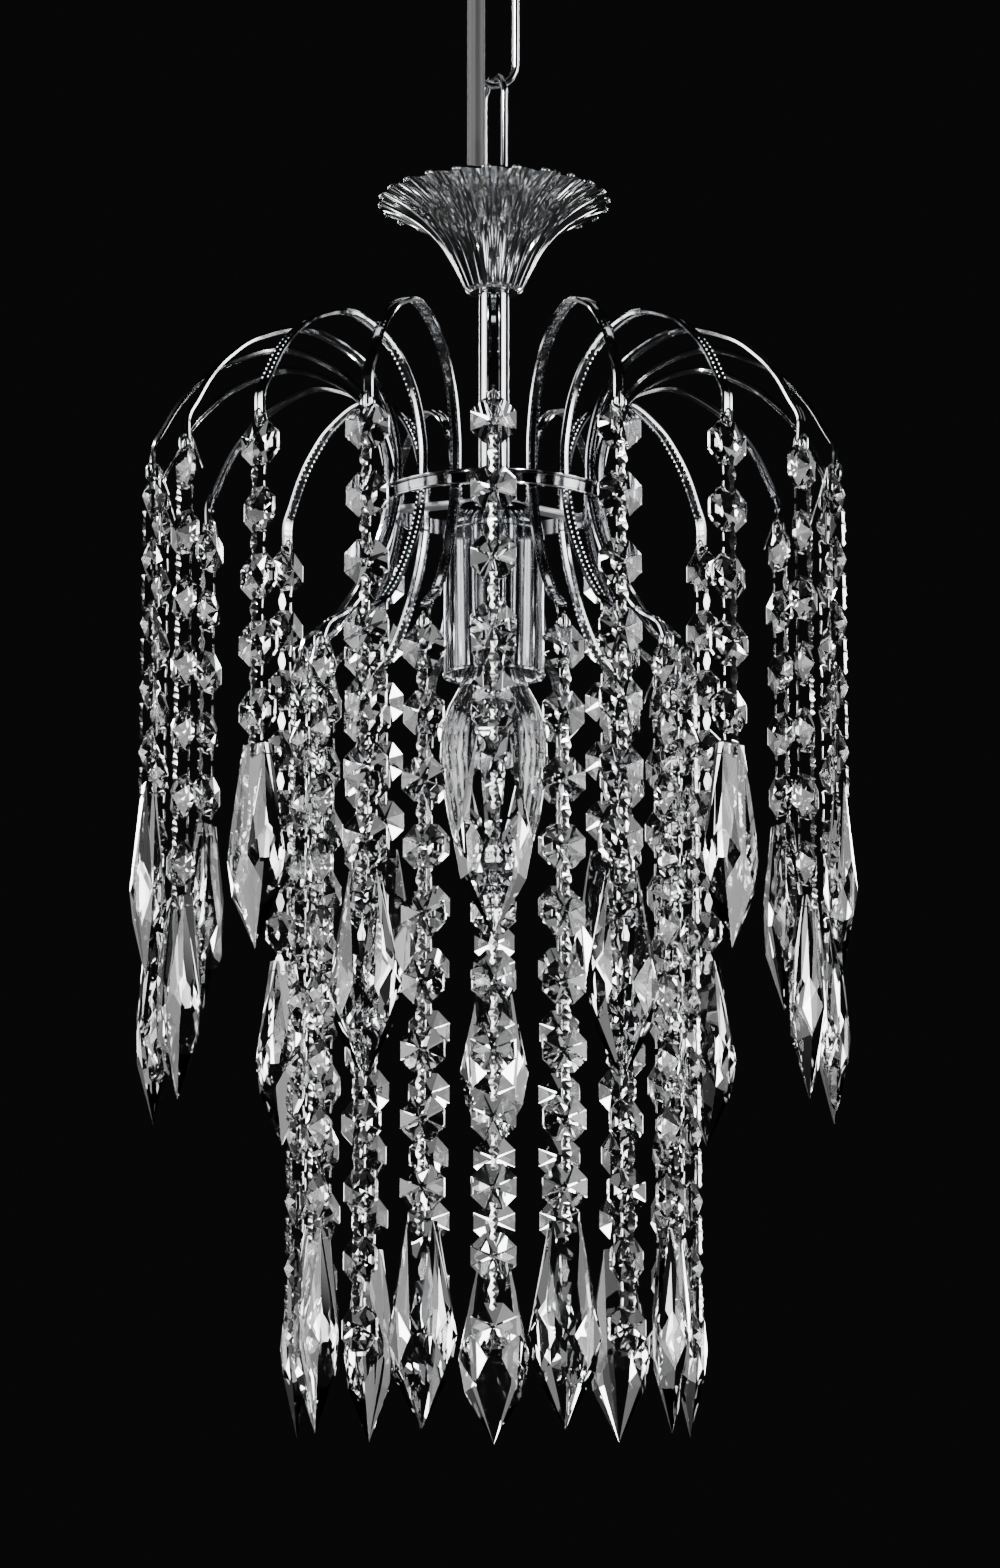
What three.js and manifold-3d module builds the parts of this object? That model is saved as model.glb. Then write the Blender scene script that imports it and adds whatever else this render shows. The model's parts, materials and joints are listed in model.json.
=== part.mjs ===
// A small waterfall crystal pendant lamp, hung by a chain from a ceiling plate.
// Millimetres, +Z up. The origin is the centre of the plate's top face, against the ceiling.
// Heights called rise, drop, bottom, peak, shoulder, rim, tip and firstOctagon count upwards
// from the ring's upper edge; level() turns them into heights below the ceiling.
import * as THREE from "three";
import Module from "manifold-3d";
import { mergeVertices } from "three/addons/utils/BufferGeometryUtils.js";

const wasm = await Module();
wasm.setup();

// ---- driving dimensions -------------------------------------------------------------------

const clearance = 0.3; // running gap between any two pieces that fit together

const plate = { radius: 30, thickness: 5, screwRadius: 2.2, screwOffset: 20 };
const hook = { wireRadius: 1.5, bend: 8, neck: 9.9, tipRise: 6, threadDepth: 3.2 };
const link = { length: 42, width: 17, wireRadius: 1.2 };
const lowerLinkTurn = THREE.MathUtils.degToRad(-62);
const eye = { ringRadius: 5, wireRadius: 1.3, shankRadius: 2.2, threadDepth: 3.5, rise: 19.4 };

const flex = { radius: 2.95, step: 14, bearing: THREE.MathUtils.degToRad(-123.69) };
const grommet = { wall: 1.2, flange: 2, flangeThickness: 1.5 };
const grip = { wall: 1.2, height: 6, chamfer: 1 };
const lead = { radius: 1.6, depthInHolder: 2 };

const cup = { bottom: 69.7, height: 31.1, footMargin: 1.7, rimRadius: 38.65, wall: 1 };
const collar = { footWall: 2.8, rimRadius: 15.27, height: 18, roof: 3, wall: 1.2, neckDepth: 3.4 };
const stem = { radius: 5, shoulder: 0.6, neckWall: 1 };

const ring = { radius: 38.2, height: 5, wall: 1.5 };
const armCount = 18;
const arm = { width: 4, thickness: 2.2, tabThickness: 1, weld: 0.6, peakRadius: 70, peak: 46.8 };
const tab = { hole: 1.3, land: 1, below: 2.6, above: 5 };
const spider = { hubWall: 2.8, rise: 3.7, drop: -2.5, spokes: 3, spokeWidth: 5, spokeThickness: 2 };

const lampCup = { radius: 16.7, flatMargin: 0.5, shoulder: -13, rim: -61, wall: 1 };
const nut = { wall: 3.3, height: 3.9, gapBelow: 1 };
const holder = { airGap: 2.7, height: 45, socket: 3, capPlay: 0.4, capHeadroom: 0.7 };
const bulb = { radius: 17.7, capRadius: 6.9, capLength: 26.3, glassLength: 77.4, wall: 1 };

const octagon = { width: 14, thickness: 5.2, edge: 2.4, spacing: 7.3 };
const icicle = { length: 63.5, width: 24, thickness: 11, topWidth: 9, gap: 3.4 };
const loop = { wire: 0.8, depth: 5.2, drop: 3.9, reach: 0.9 };
const upper = { radius: 113, firstOctagon: -4.9, evenCount: 5, oddCount: 7 };
const lower = { radius: 64.1, firstOctagon: -63.9, evenCount: 11, oddCount: 9 };

// ---- colours and finishes -----------------------------------------------------------------

const chrome = new THREE.MeshStandardMaterial({ color: 0xc9ccd0, roughness: 0.12, metalness: 1 });
const steel = new THREE.MeshStandardMaterial({ color: 0xa8abb0, roughness: 0.3, metalness: 1 });
const crystal = new THREE.MeshStandardMaterial({ color: 0xeef2f6, roughness: 0.03, metalness: 0 });
const grey = new THREE.MeshStandardMaterial({ color: 0x8b8d90, roughness: 0.55, metalness: 0 });
const dark = new THREE.MeshStandardMaterial({ color: 0x2e2f31, roughness: 0.5, metalness: 0 });

const group = new THREE.Group();

// ---- small tools --------------------------------------------------------------------------

function solidOf(geometry) {
  const bare = geometry.clone();
  bare.deleteAttribute("normal");
  bare.deleteAttribute("uv");
  const merged = mergeVertices(bare, 1e-4);
  const mesh = new wasm.Mesh({
    numProp: 3,
    vertProperties: new Float32Array(merged.attributes.position.array),
    triVerts: new Uint32Array(merged.index.array),
  });
  return new wasm.Manifold(mesh);
}

function geometryOf(solid) {
  const { vertProperties, triVerts } = solid.getMesh();
  const geometry = new THREE.BufferGeometry();
  geometry.setAttribute("position", new THREE.BufferAttribute(vertProperties, 3));
  geometry.setIndex(new THREE.BufferAttribute(triVerts, 1));
  return geometry;
}

function cut(geometry, cutters) {
  return geometryOf(cutters.reduce((left, next) => left.subtract(solidOf(next)), solidOf(geometry)));
}

function join(geometries) {
  return geometryOf(geometries.map(solidOf).reduce((all, next) => all.add(next)));
}

function add(name, geometry, material, x = 0, y = 0, z = 0, turn = 0) {
  const mesh = new THREE.Mesh(geometry, material);
  mesh.name = name;
  mesh.position.set(x, y, z);
  mesh.rotation.z = turn;
  group.add(mesh);
}

// A turned shape about Z. Its outline of [radius, height] pairs runs up the outside, and
// starts and ends on the axis or at one point.
function turned(outline, segments) {
  const points = outline.map(([r, z]) => new THREE.Vector2(r, z));
  return new THREE.LatheGeometry(points, segments).rotateX(Math.PI / 2);
}

// A round bar about Z between two heights.
function bar(radius, bottom, top, segments = 12) {
  const geometry = new THREE.CylinderGeometry(radius, radius, top - bottom, segments);
  return geometry.rotateX(Math.PI / 2).translate(0, 0, (top + bottom) / 2);
}

// The points of an outline moved inwards by a wall's thickness, in reverse order.
function inside(outline, wall) {
  const last = outline.length - 1;
  const moved = outline.map(([r, z], i) => {
    const [r0, z0] = outline[Math.max(i - 1, 0)];
    const [r1, z1] = outline[Math.min(i + 1, last)];
    const long = Math.hypot(r1 - r0, z1 - z0);
    return [Math.max(r - (wall * (z1 - z0)) / long, 0), z + (wall * (r1 - r0)) / long];
  });
  return moved.reverse();
}

// A wire of round section along a curve.
function wire(curve, radius, steps, sides = 8) {
  const section = new THREE.Shape();
  section.absarc(0, 0, radius, 0, 2 * Math.PI);
  const corners = section.getPoints(sides / 2).slice(0, sides);
  const settings = { steps, extrudePath: curve, bevelEnabled: false };
  return new THREE.ExtrudeGeometry(new THREE.Shape(corners), settings);
}

// A flat-sided solid through four-cornered sections, each [height, half width, half depth],
// from the top down.
function stacked(sections) {
  const corners = sections.flatMap(([z, x, y]) => [x, 0, z, 0, y, z, -x, 0, z, 0, -y, z]);
  const end = 4 * (sections.length - 1);
  const faces = [0, 1, 2, 0, 2, 3, end, end + 2, end + 1, end, end + 3, end + 2];
  for (let first = 0; first < end; first += 4) {
    for (let side = 0; side < 4; side++) {
      const [a, b] = [first + side, first + ((side + 1) % 4)];
      faces.push(a, a + 4, b, b, a + 4, b + 4);
    }
  }
  const geometry = new THREE.BufferGeometry();
  geometry.setAttribute("position", new THREE.Float32BufferAttribute(corners, 3));
  geometry.setIndex(faces);
  return geometry;
}

// ---- ceiling fitting ----------------------------------------------------------------------

const past = 1; // how far a cutter runs beyond the face that it cuts
const plateBottom = -plate.thickness;
const saddle = plateBottom - hook.neck - 2 * hook.bend; // the hook wire's lowest centre
const flexBore = flex.radius + clearance;
const grommetBody = flexBore + grommet.wall;
const flexAway = collar.rimRadius - collar.wall - flexBore; // the flex's distance from the axis
const [flexX, flexY] = [flexAway * Math.cos(flex.bearing), flexAway * Math.sin(flex.bearing)];

function addCeilingPlate() {
  const screwHoles = [-1, 1].map((side) =>
    bar(plate.screwRadius, plateBottom - past, past).translate(side * plate.screwOffset, 0, 0));
  const threadTop = plateBottom + hook.threadDepth + clearance;
  const hookHole = bar(hook.wireRadius + clearance, plateBottom - past, threadTop);
  const grommetHole = bar(grommetBody + clearance, plateBottom - past, past, 16);
  grommetHole.translate(flexX, flexY, 0);
  const body = bar(plate.radius, plateBottom, 0, 36);
  add("ceiling_plate", cut(body, [...screwHoles, hookHole, grommetHole]), chrome);
}

// The hook is a question mark of wire in the YZ plane.
function addCeilingHook() {
  const centre = saddle + hook.bend;
  const points = [
    new THREE.Vector3(0, 0, plateBottom + hook.threadDepth),
    new THREE.Vector3(0, 0, plateBottom - hook.neck / 2),
  ];
  for (let degrees = 45; degrees >= -180; degrees -= 45) {
    const angle = THREE.MathUtils.degToRad(degrees);
    const [y, z] = [hook.bend * Math.cos(angle), hook.bend * Math.sin(angle)];
    points.push(new THREE.Vector3(0, y, centre + z));
  }
  points.push(new THREE.Vector3(0, -hook.bend, centre + hook.tipRise));
  add("ceiling_hook", wire(new THREE.CatmullRomCurve3(points), hook.wireRadius, 22), chrome);
}

function addGrommet() {
  const flangeTop = plateBottom - clearance;
  const flangeBottom = flangeTop - grommet.flangeThickness;
  const flangeRadius = grommetBody + grommet.flange;
  const outline = [
    [flexBore, flangeBottom], [flangeRadius, flangeBottom], [flangeRadius, flangeTop],
    [grommetBody, flangeTop], [grommetBody, -clearance], [flexBore, -clearance],
    [flexBore, flangeBottom],
  ];
  add("ceiling_grommet", turned(outline, 16), dark, flexX, flexY);
}

// ---- chain and the eye it carries ---------------------------------------------------------

const wirePitch = link.length - 2 * link.wireRadius; // between a link's two end wire centres
const upperLinkTop = saddle + hook.wireRadius + clearance + link.wireRadius;
const upperLinkBottom = upperLinkTop - wirePitch;
const lowerLinkTop = upperLinkBottom + 2 * link.wireRadius + clearance;
const lowerLinkBottom = lowerLinkTop - wirePitch;
const eyeTop = lowerLinkBottom + link.wireRadius + clearance + eye.wireRadius;
const collarAboveRing = cup.bottom + cup.wall + clearance + collar.height;
const ringEdge = eyeTop - eye.rise - collarAboveRing; // the ring's upper edge

function level(aboveRing) {
  return ringEdge + aboveRing;
}

// An oval ring of wire in the XZ plane: a torus with its two halves drawn apart.
function oval(width, length, wireRadius) {
  const bend = width / 2 - wireRadius;
  const steps = 18; // twice an odd number, so no section lies on the joint of the two halves
  const geometry = new THREE.TorusGeometry(bend, wireRadius, 8, steps);
  geometry.rotateZ(Math.PI / steps).rotateX(Math.PI / 2);
  const stretch = length / 2 - wireRadius - bend;
  const corners = geometry.attributes.position;
  for (let i = 0; i < corners.count; i++) {
    const upperHalf = i % (steps + 1) < steps / 2 || i % (steps + 1) === steps;
    corners.setZ(i, corners.getZ(i) + (upperHalf ? stretch : -stretch));
  }
  return geometry;
}

function addChain() {
  const shape = oval(link.width, link.length, link.wireRadius);
  const middle = wirePitch / 2;
  add("chain_link_upper", shape, chrome, 0, 0, upperLinkBottom + middle);
  add("chain_link_lower", shape.clone(), chrome, 0, 0, lowerLinkBottom + middle, lowerLinkTurn);
}

// ---- canopy cup, collar, cord grip and stem -----------------------------------------------

const cupBottom = level(cup.bottom);
const neckRadius = stem.radius - stem.shoulder;
const boreRadius = neckRadius - stem.neckWall;
const neckHole = neckRadius + clearance;
const collarFoot = neckHole + collar.footWall;
const cupFoot = collarFoot + cup.footMargin;
const collarBottom = cupBottom + cup.wall + clearance;
const collarTop = collarBottom + collar.height;
const collarRoof = collarTop - collar.roof;
const gripTop = collarTop + clearance + grip.height;

// The cup flares like a trumpet: its outer radius at a share of its height.
function cupRadius(share) {
  return cupFoot + (cup.rimRadius - cupFoot) * 0.5 * (share + share ** 4);
}

function addCanopyCup() {
  const shares = [0, 0.25, 0.5, 0.7, 0.86, 1];
  const side = shares.map((share) => [cupRadius(share), cupBottom + share * cup.height]);
  const outside = [[neckHole, cupBottom], ...side];
  const outline = [...outside, ...inside(outside, cup.wall), outside[0]];
  add("canopy_cup", turned(outline, 24), chrome);
}

// The collar is a hollow cone that holds the eye and the cord grip in its roof.
function addCollar() {
  const rim = collar.rimRadius;
  const waist = collarBottom + collar.neckDepth;
  const body = turned([
    [0, collarBottom], [collarFoot, collarBottom], [rim, collarRoof], [rim, collarTop],
    [0, collarTop],
  ], 24);
  const hollow = turned([
    [0, collarBottom - past], [neckHole, collarBottom - past], [neckHole, waist],
    [rim - collar.wall, collarRoof], [0, collarRoof],
  ], 24);
  const eyeHole = bar(eye.shankRadius + clearance, collarRoof - past, collarTop + past);
  const gripHole = bar(flexBore, collarRoof - past, collarTop + past, 16);
  gripHole.translate(flexX, flexY, 0);
  add("top_collar", cut(body, [hollow, eyeHole, gripHole]), steel);
}

function addEye() {
  const centre = eyeTop - eye.ringRadius;
  const hoop = new THREE.TorusGeometry(eye.ringRadius, eye.wireRadius, 8, 18);
  hoop.rotateX(Math.PI / 2).rotateZ(lowerLinkTurn + Math.PI / 2).translate(0, 0, centre);
  const shankTop = centre - eye.ringRadius;
  const shank = bar(eye.shankRadius, collarTop - eye.threadDepth, shankTop);
  add("suspension_eye", join([hoop, shank]), steel);
}

function addGrip() {
  const shoulder = collarTop + clearance;
  const radius = flex.radius + grip.wall;
  const outline = [
    [0, collarRoof], [flex.radius, collarRoof], [flex.radius, shoulder], [radius, shoulder],
    [radius, gripTop - grip.chamfer], [radius - grip.chamfer, gripTop], [0, gripTop],
  ];
  add("cord_grip", turned(outline, 12), dark, flexX, flexY);
}

function addFlex() {
  const bottom = gripTop + clearance;
  const top = -clearance;
  const ends = [new THREE.Vector3(flexX, flexY, top), new THREE.Vector3(flexX, flexY, bottom)];
  const route = new THREE.LineCurve3(...ends);
  add("flex", wire(route, flex.radius, Math.round((top - bottom) / flex.step)), grey);
}

const stemShoulder = level(spider.rise) + clearance;
const lampCupTop = level(spider.drop) - clearance;
const nutTop = lampCupTop - lampCup.wall - clearance;
const holderTop = nutTop - nut.height - nut.gapBelow;
const holderRim = holderTop - holder.height;
const socketFloor = holderTop - holder.socket;

function addStem() {
  const top = collarBottom + collar.neckDepth;
  const foot = socketFloor + clearance;
  const outline = [
    [boreRadius, foot], [neckRadius, foot], [neckRadius, stemShoulder],
    [stem.radius, stemShoulder], [stem.radius, cupBottom - clearance],
    [neckRadius, cupBottom - clearance], [neckRadius, top], [boreRadius, top],
    [boreRadius, foot],
  ];
  add("stem_tube", turned(outline, 16), chrome);
}

// The insulated lead bends from the cord grip to the axis and runs down the stem.
function addLead() {
  const depth = collarRoof - collarBottom - collar.neckDepth;
  const bends = [
    [1, -2 * clearance], [0.99, -0.12 * depth], [0.76, -0.36 * depth], [0.38, -0.62 * depth],
    [0.1, -0.85 * depth],
  ];
  const points = bends.map(([share, drop]) =>
    new THREE.Vector3(share * flexX, share * flexY, collarRoof + drop));
  const end = socketFloor - lead.depthInHolder;
  const straightTop = collarBottom + collar.neckDepth / 2;
  for (const share of [0, 0.5, 1]) {
    points.push(new THREE.Vector3(0, 0, THREE.MathUtils.lerp(straightTop, end, share)));
  }
  add("stem_lead", wire(new THREE.CatmullRomCurve3(points), lead.radius, 22), dark);
}

// ---- ring, arms and spider ----------------------------------------------------------------

const strandDrop = octagon.width / 2 + loop.drop; // from a pivot down to the first octagon's centre
const pivotOf = { upper: upper.firstOctagon + strandDrop, lower: lower.firstOctagon + strandDrop };
const ringSides = 36;
const holeAbovePivot = tab.hole - loop.wire / 2 - clearance;

// One arm's middle line in its own radial plane, as [radius, height above the ring's edge]. It
// climbs from the ring, curls over and drops to the upper tab, and also runs down from the ring
// to the lower tab. Each stretch has its bends as shares of its own width and height.
function armLine() {
  const root = ring.radius - ring.wall + arm.weld - arm.thickness / 2;
  const upperHole = pivotOf.upper + holeAbovePivot;
  const lowerHole = pivotOf.lower + holeAbovePivot;
  const stretch = ([r0, z0], [r1, z1], bends) => bends.map(([across, up]) =>
    new THREE.Vector2(THREE.MathUtils.lerp(r0, r1, across), THREE.MathUtils.lerp(z0, z1, up)));
  const top = [upper.radius, upperHole + tab.above];
  const peak = [arm.peakRadius, arm.peak];
  const foot = [lower.radius, lowerHole + tab.above];
  const bent = [
    ...stretch(top, peak, [[0, 0], [0.074, 0.173], [0.19, 0.422], [0.348, 0.642], [0.587, 0.853]]),
    ...stretch(peak, [root, 0], [[0, 0], [0.552, 0.147], [0.851, 0.409], [0.987, 0.737], [1, 1]]),
    ...stretch([root, -ring.height], foot, [[0, 0], [0.118, 0.295], [0.337, 0.599], [0.631, 0.861]]),
    ...stretch([root, -ring.height], foot, [[0.91, 0.983]]),
  ];
  const line = new THREE.SplineCurve(bent).getPoints(17);
  return [
    new THREE.Vector2(upper.radius, upperHole - tab.below), ...line,
    new THREE.Vector2(lower.radius, lowerHole + tab.hole + tab.land),
    new THREE.Vector2(lower.radius, lowerHole - tab.below),
  ];
}

function armSolid() {
  const line = armLine();
  const last = line.length - 1;
  const side = (sign) => line.map((point, i) => {
    const along = line[Math.min(i + 1, last)].clone().sub(line[Math.max(i - 1, 0)]).normalize();
    const atTab = i < 2 || i > last - 2;
    const half = (sign * (atTab ? arm.tabThickness : arm.thickness)) / 2;
    return new THREE.Vector2(point.x - along.y * half, point.y + along.x * half);
  });
  const outline = new THREE.Shape([...side(1), ...side(-1).reverse()]);
  const strip = new THREE.ExtrudeGeometry(outline, { depth: arm.width, bevelEnabled: false });
  strip.translate(0, 0, -arm.width / 2).rotateX(Math.PI / 2).rotateZ(-Math.PI / 2);
  const holes = [[upper.radius, pivotOf.upper], [lower.radius, pivotOf.lower]].map(([r, z]) => {
    const drill = new THREE.BoxGeometry(2 * tab.hole, 2 * arm.thickness, 2 * tab.hole);
    return solidOf(drill.translate(0, -r, z + holeAbovePivot));
  });
  return solidOf(strip).subtract(holes[0]).subtract(holes[1]);
}

function addArms() {
  const inner = ring.radius - ring.wall;
  const band = turned([
    [inner, -ring.height], [ring.radius, -ring.height], [ring.radius, 0], [inner, 0],
    [inner, -ring.height],
  ], ringSides);
  const one = armSolid();
  let all = solidOf(band);
  for (let k = 0; k < armCount; k++) all = all.add(one.rotate([0, 0, (360 * k) / armCount]));
  add("arm_spray", geometryOf(all), chrome, 0, 0, level(0));
}

// The spider's spokes stand midway between arms and reach to the ring's inner wall.
function addSpider() {
  const halfArm = Math.PI / armCount;
  const reach = (ring.radius - ring.wall) * Math.cos(Math.PI / ringSides) - clearance;
  const bottom = level(spider.drop);
  const parts = [bar(neckHole + spider.hubWall, bottom, level(spider.rise), 18)];
  for (let k = 0; k < spider.spokes; k++) {
    const spoke = new THREE.BoxGeometry(spider.spokeWidth, reach, spider.spokeThickness);
    spoke.translate(0, -reach / 2, bottom + spider.spokeThickness / 2);
    parts.push(spoke.rotateZ(halfArm + (2 * Math.PI * k) / spider.spokes));
  }
  const hole = bar(neckHole, bottom - past, level(spider.rise) + past, 16);
  add("ring_spider", cut(join(parts), [hole]), steel);
}

// ---- lamp cup, lampholder and lamp --------------------------------------------------------

const nutRadius = neckHole + nut.wall; // across its corners

function addLampCup() {
  const rise = lampCupTop - level(lampCup.shoulder);
  const flat = nutRadius + lampCup.flatMargin;
  const shoulder = [0, 0.25, 0.5, 0.75, 1].map((share) => {
    const angle = (share * Math.PI) / 2;
    const out = (lampCup.radius - flat) * Math.cos(angle);
    return [flat + out, level(lampCup.shoulder) + rise * Math.sin(angle)];
  });
  const outside = [[lampCup.radius, level(lampCup.rim)], ...shoulder, [neckHole, lampCupTop]];
  const innerSide = inside(outside, lampCup.wall);
  add("lamp_cup", turned([...outside, ...innerSide, outside[0]], 20), chrome);
}

function addNut() {
  const body = bar(nutRadius, nutTop - nut.height, nutTop, 6);
  const hole = bar(neckHole, nutTop - nut.height - past, nutTop + past, 16);
  add("stem_locknut", cut(body, [hole]), steel);
}

function addLampholder() {
  const radius = lampCup.radius - lampCup.wall - holder.airGap;
  const bore = bulb.capRadius + holder.capPlay;
  const leadHole = lead.radius + clearance;
  const roof = holderRim + bulb.capLength + holder.capHeadroom;
  const outline = [
    [bore, holderRim], [radius, holderRim], [radius, holderTop], [neckHole, holderTop],
    [neckHole, socketFloor], [leadHole, socketFloor], [leadHole, roof], [bore, roof],
    [bore, holderRim],
  ];
  add("lampholder", turned(outline, 20), dark);
}

function addLamp() {
  const capBottom = holderRim - clearance;
  const capTop = capBottom + bulb.capLength;
  const contact = { radius: 2.2, height: 2, cone: 3 };
  add("lamp_cap", turned([
    [0, capBottom], [bulb.capRadius, capBottom],
    [bulb.capRadius, capTop - contact.height - contact.cone],
    [bulb.capRadius - contact.cone, capTop - contact.height],
    [contact.radius, capTop - contact.height], [contact.radius, capTop], [0, capTop],
  ], 16), steel);
  const glassTop = capBottom - clearance;
  const tip = glassTop - bulb.glassLength;
  const shares = [
    [0, 0], [0.22, 0.02], [0.5, 0.09], [0.78, 0.24], [0.95, 0.45], [1, 0.61], [0.89, 0.76],
    [0.66, 0.87], [0.47, 0.96], [0.38, 1],
  ];
  const outside = shares.map(([r, z]) => [r * bulb.radius, THREE.MathUtils.lerp(tip, glassTop, z)]);
  add("lamp_glass", turned([...outside, ...inside(outside, bulb.wall)], 16), crystal);
}

// ---- crystal strands ----------------------------------------------------------------------

// One strand about its own pivot at the origin, with outwards along -Y: the wire loop that
// goes through an arm's tab, the octagons and, where there is one, the icicle.
function strandShape(count, hasIcicle) {
  const half = octagon.width / 2;
  const corner = half * Math.tan(Math.PI / 8);
  const sections = [];
  for (let i = 0; i < count; i++) {
    const centre = -strandDrop - i * (octagon.width + octagon.spacing);
    sections.push([centre + half, corner, octagon.edge / 2]);
    sections.push([centre, half, octagon.thickness / 2]);
    sections.push([centre - half, corner, octagon.edge / 2]);
  }
  if (hasIcicle) {
    const top = sections.at(-1)[0] - icicle.gap;
    const [wide, deep] = [icicle.width / 2, icicle.thickness / 2];
    sections.push([top, icicle.topWidth / 2, octagon.edge / 2]);
    sections.push([top - 0.55 * icicle.length, wide, deep]);
    sections.push([top - 0.73 * icicle.length, 0.83 * wide, 0.83 * deep]);
    sections.push([top - icicle.length, octagon.edge / 4, octagon.edge / 4]);
  }
  const bottom = -strandDrop + half - loop.reach - loop.wire;
  const [out, rise] = [loop.depth / 2, loop.wire / 2];
  const frame = new THREE.Shape().moveTo(-out, bottom).lineTo(out, bottom);
  frame.lineTo(out, rise).lineTo(-out, rise).closePath();
  const [way, floor] = [out - loop.wire, bottom + loop.wire];
  const gap = new THREE.Path().moveTo(-way, floor).lineTo(way, floor);
  gap.lineTo(way, -rise).lineTo(-way, -rise).closePath();
  frame.holes.push(gap);
  const wireLoop = new THREE.ExtrudeGeometry(frame, { depth: loop.wire, bevelEnabled: false });
  wireLoop.translate(0, 0, -loop.wire / 2).rotateX(Math.PI / 2).rotateZ(Math.PI / 2);
  return join([stacked(sections), wireLoop]);
}

// Every second arm's strand is longer, counted both ways from the front; hasIcicle is for the
// arms between, because the longer ones always end in an icicle.
function addStrands(tier, kind, pivot, hasIcicle) {
  const even = strandShape(kind.evenCount, hasIcicle);
  const odd = strandShape(kind.oddCount, true);
  for (let k = 0; k < armCount; k++) {
    const turn = (2 * Math.PI * k) / armCount;
    const [x, y] = [kind.radius * Math.sin(turn), -kind.radius * Math.cos(turn)];
    const isOdd = Math.min(k, armCount - k) % 2 === 1;
    const name = `${tier}_strand_${String(k).padStart(2, "0")}`;
    add(name, (isOdd ? odd : even).clone(), crystal, x, y, level(pivot), turn);
  }
}

// ---- the whole lamp -----------------------------------------------------------------------

addCeilingPlate();
addCeilingHook();
addGrommet();
addChain();
addCanopyCup();
addCollar();
addEye();
addGrip();
addFlex();
addStem();
addLead();
addArms();
addSpider();
addLampCup();
addNut();
addLampholder();
addLamp();
addStrands("upper", upper, pivotOf.upper, true);
addStrands("lower", lower, pivotOf.lower, false);

export default group;
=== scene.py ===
"""A small waterfall crystal pendant lamp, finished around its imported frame.

Metres, +Z up, with the origin at the centre of the ceiling plate's top face.
Each sub-assembly is a class that holds its own sizes and builds its own pieces.
"""

import json
import logging
import math
import random
from dataclasses import dataclass, field
from enum import Enum
from typing import Callable, Iterable, Sequence

import bmesh
import bpy
from mathutils import Matrix, Vector


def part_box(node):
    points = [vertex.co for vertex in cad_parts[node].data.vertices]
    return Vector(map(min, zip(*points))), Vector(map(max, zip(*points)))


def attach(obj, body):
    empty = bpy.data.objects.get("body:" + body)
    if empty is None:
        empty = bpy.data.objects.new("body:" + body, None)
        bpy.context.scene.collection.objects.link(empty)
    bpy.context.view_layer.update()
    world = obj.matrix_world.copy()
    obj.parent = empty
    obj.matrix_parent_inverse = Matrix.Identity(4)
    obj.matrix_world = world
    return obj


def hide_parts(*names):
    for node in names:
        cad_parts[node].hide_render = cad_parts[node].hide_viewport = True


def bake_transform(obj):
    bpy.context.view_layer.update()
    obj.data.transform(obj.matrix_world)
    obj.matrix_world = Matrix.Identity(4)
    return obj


MM = 0.001
GAP = 0.3 * MM
UP = Vector((0.0, 0.0, 1.0))
LOG = logging.getLogger("pendant")
Profile = Sequence[tuple[float, float]]

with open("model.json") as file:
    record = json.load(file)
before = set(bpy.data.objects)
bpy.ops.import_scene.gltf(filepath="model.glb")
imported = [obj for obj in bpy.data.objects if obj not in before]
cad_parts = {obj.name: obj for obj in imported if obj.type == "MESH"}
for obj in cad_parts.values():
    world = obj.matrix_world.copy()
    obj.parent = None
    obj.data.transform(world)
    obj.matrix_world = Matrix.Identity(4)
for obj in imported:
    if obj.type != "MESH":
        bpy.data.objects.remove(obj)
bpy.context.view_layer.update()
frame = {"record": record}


class Slot(str, Enum):
    """The record's material slots."""

    CHROME = "chrome"
    ZINC = "zinc_steel"
    CRYSTAL = "crystal"
    LAMP_GLASS = "lamp_glass"
    CAP = "nickel_cap"
    FLEX = "grey_flex"
    BLACK = "black_plastic"


class Body(str, Enum):
    """The frame's bodies that a fixed name can tell."""

    CEILING = "ceiling"
    UPPER_LINK = "upper_link"
    LOWER_LINK = "lower_link"
    PENDANT = "pendant"
    LAMP = "lamp"


# ---- finishes -------------------------------------------------------------------------------


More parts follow.
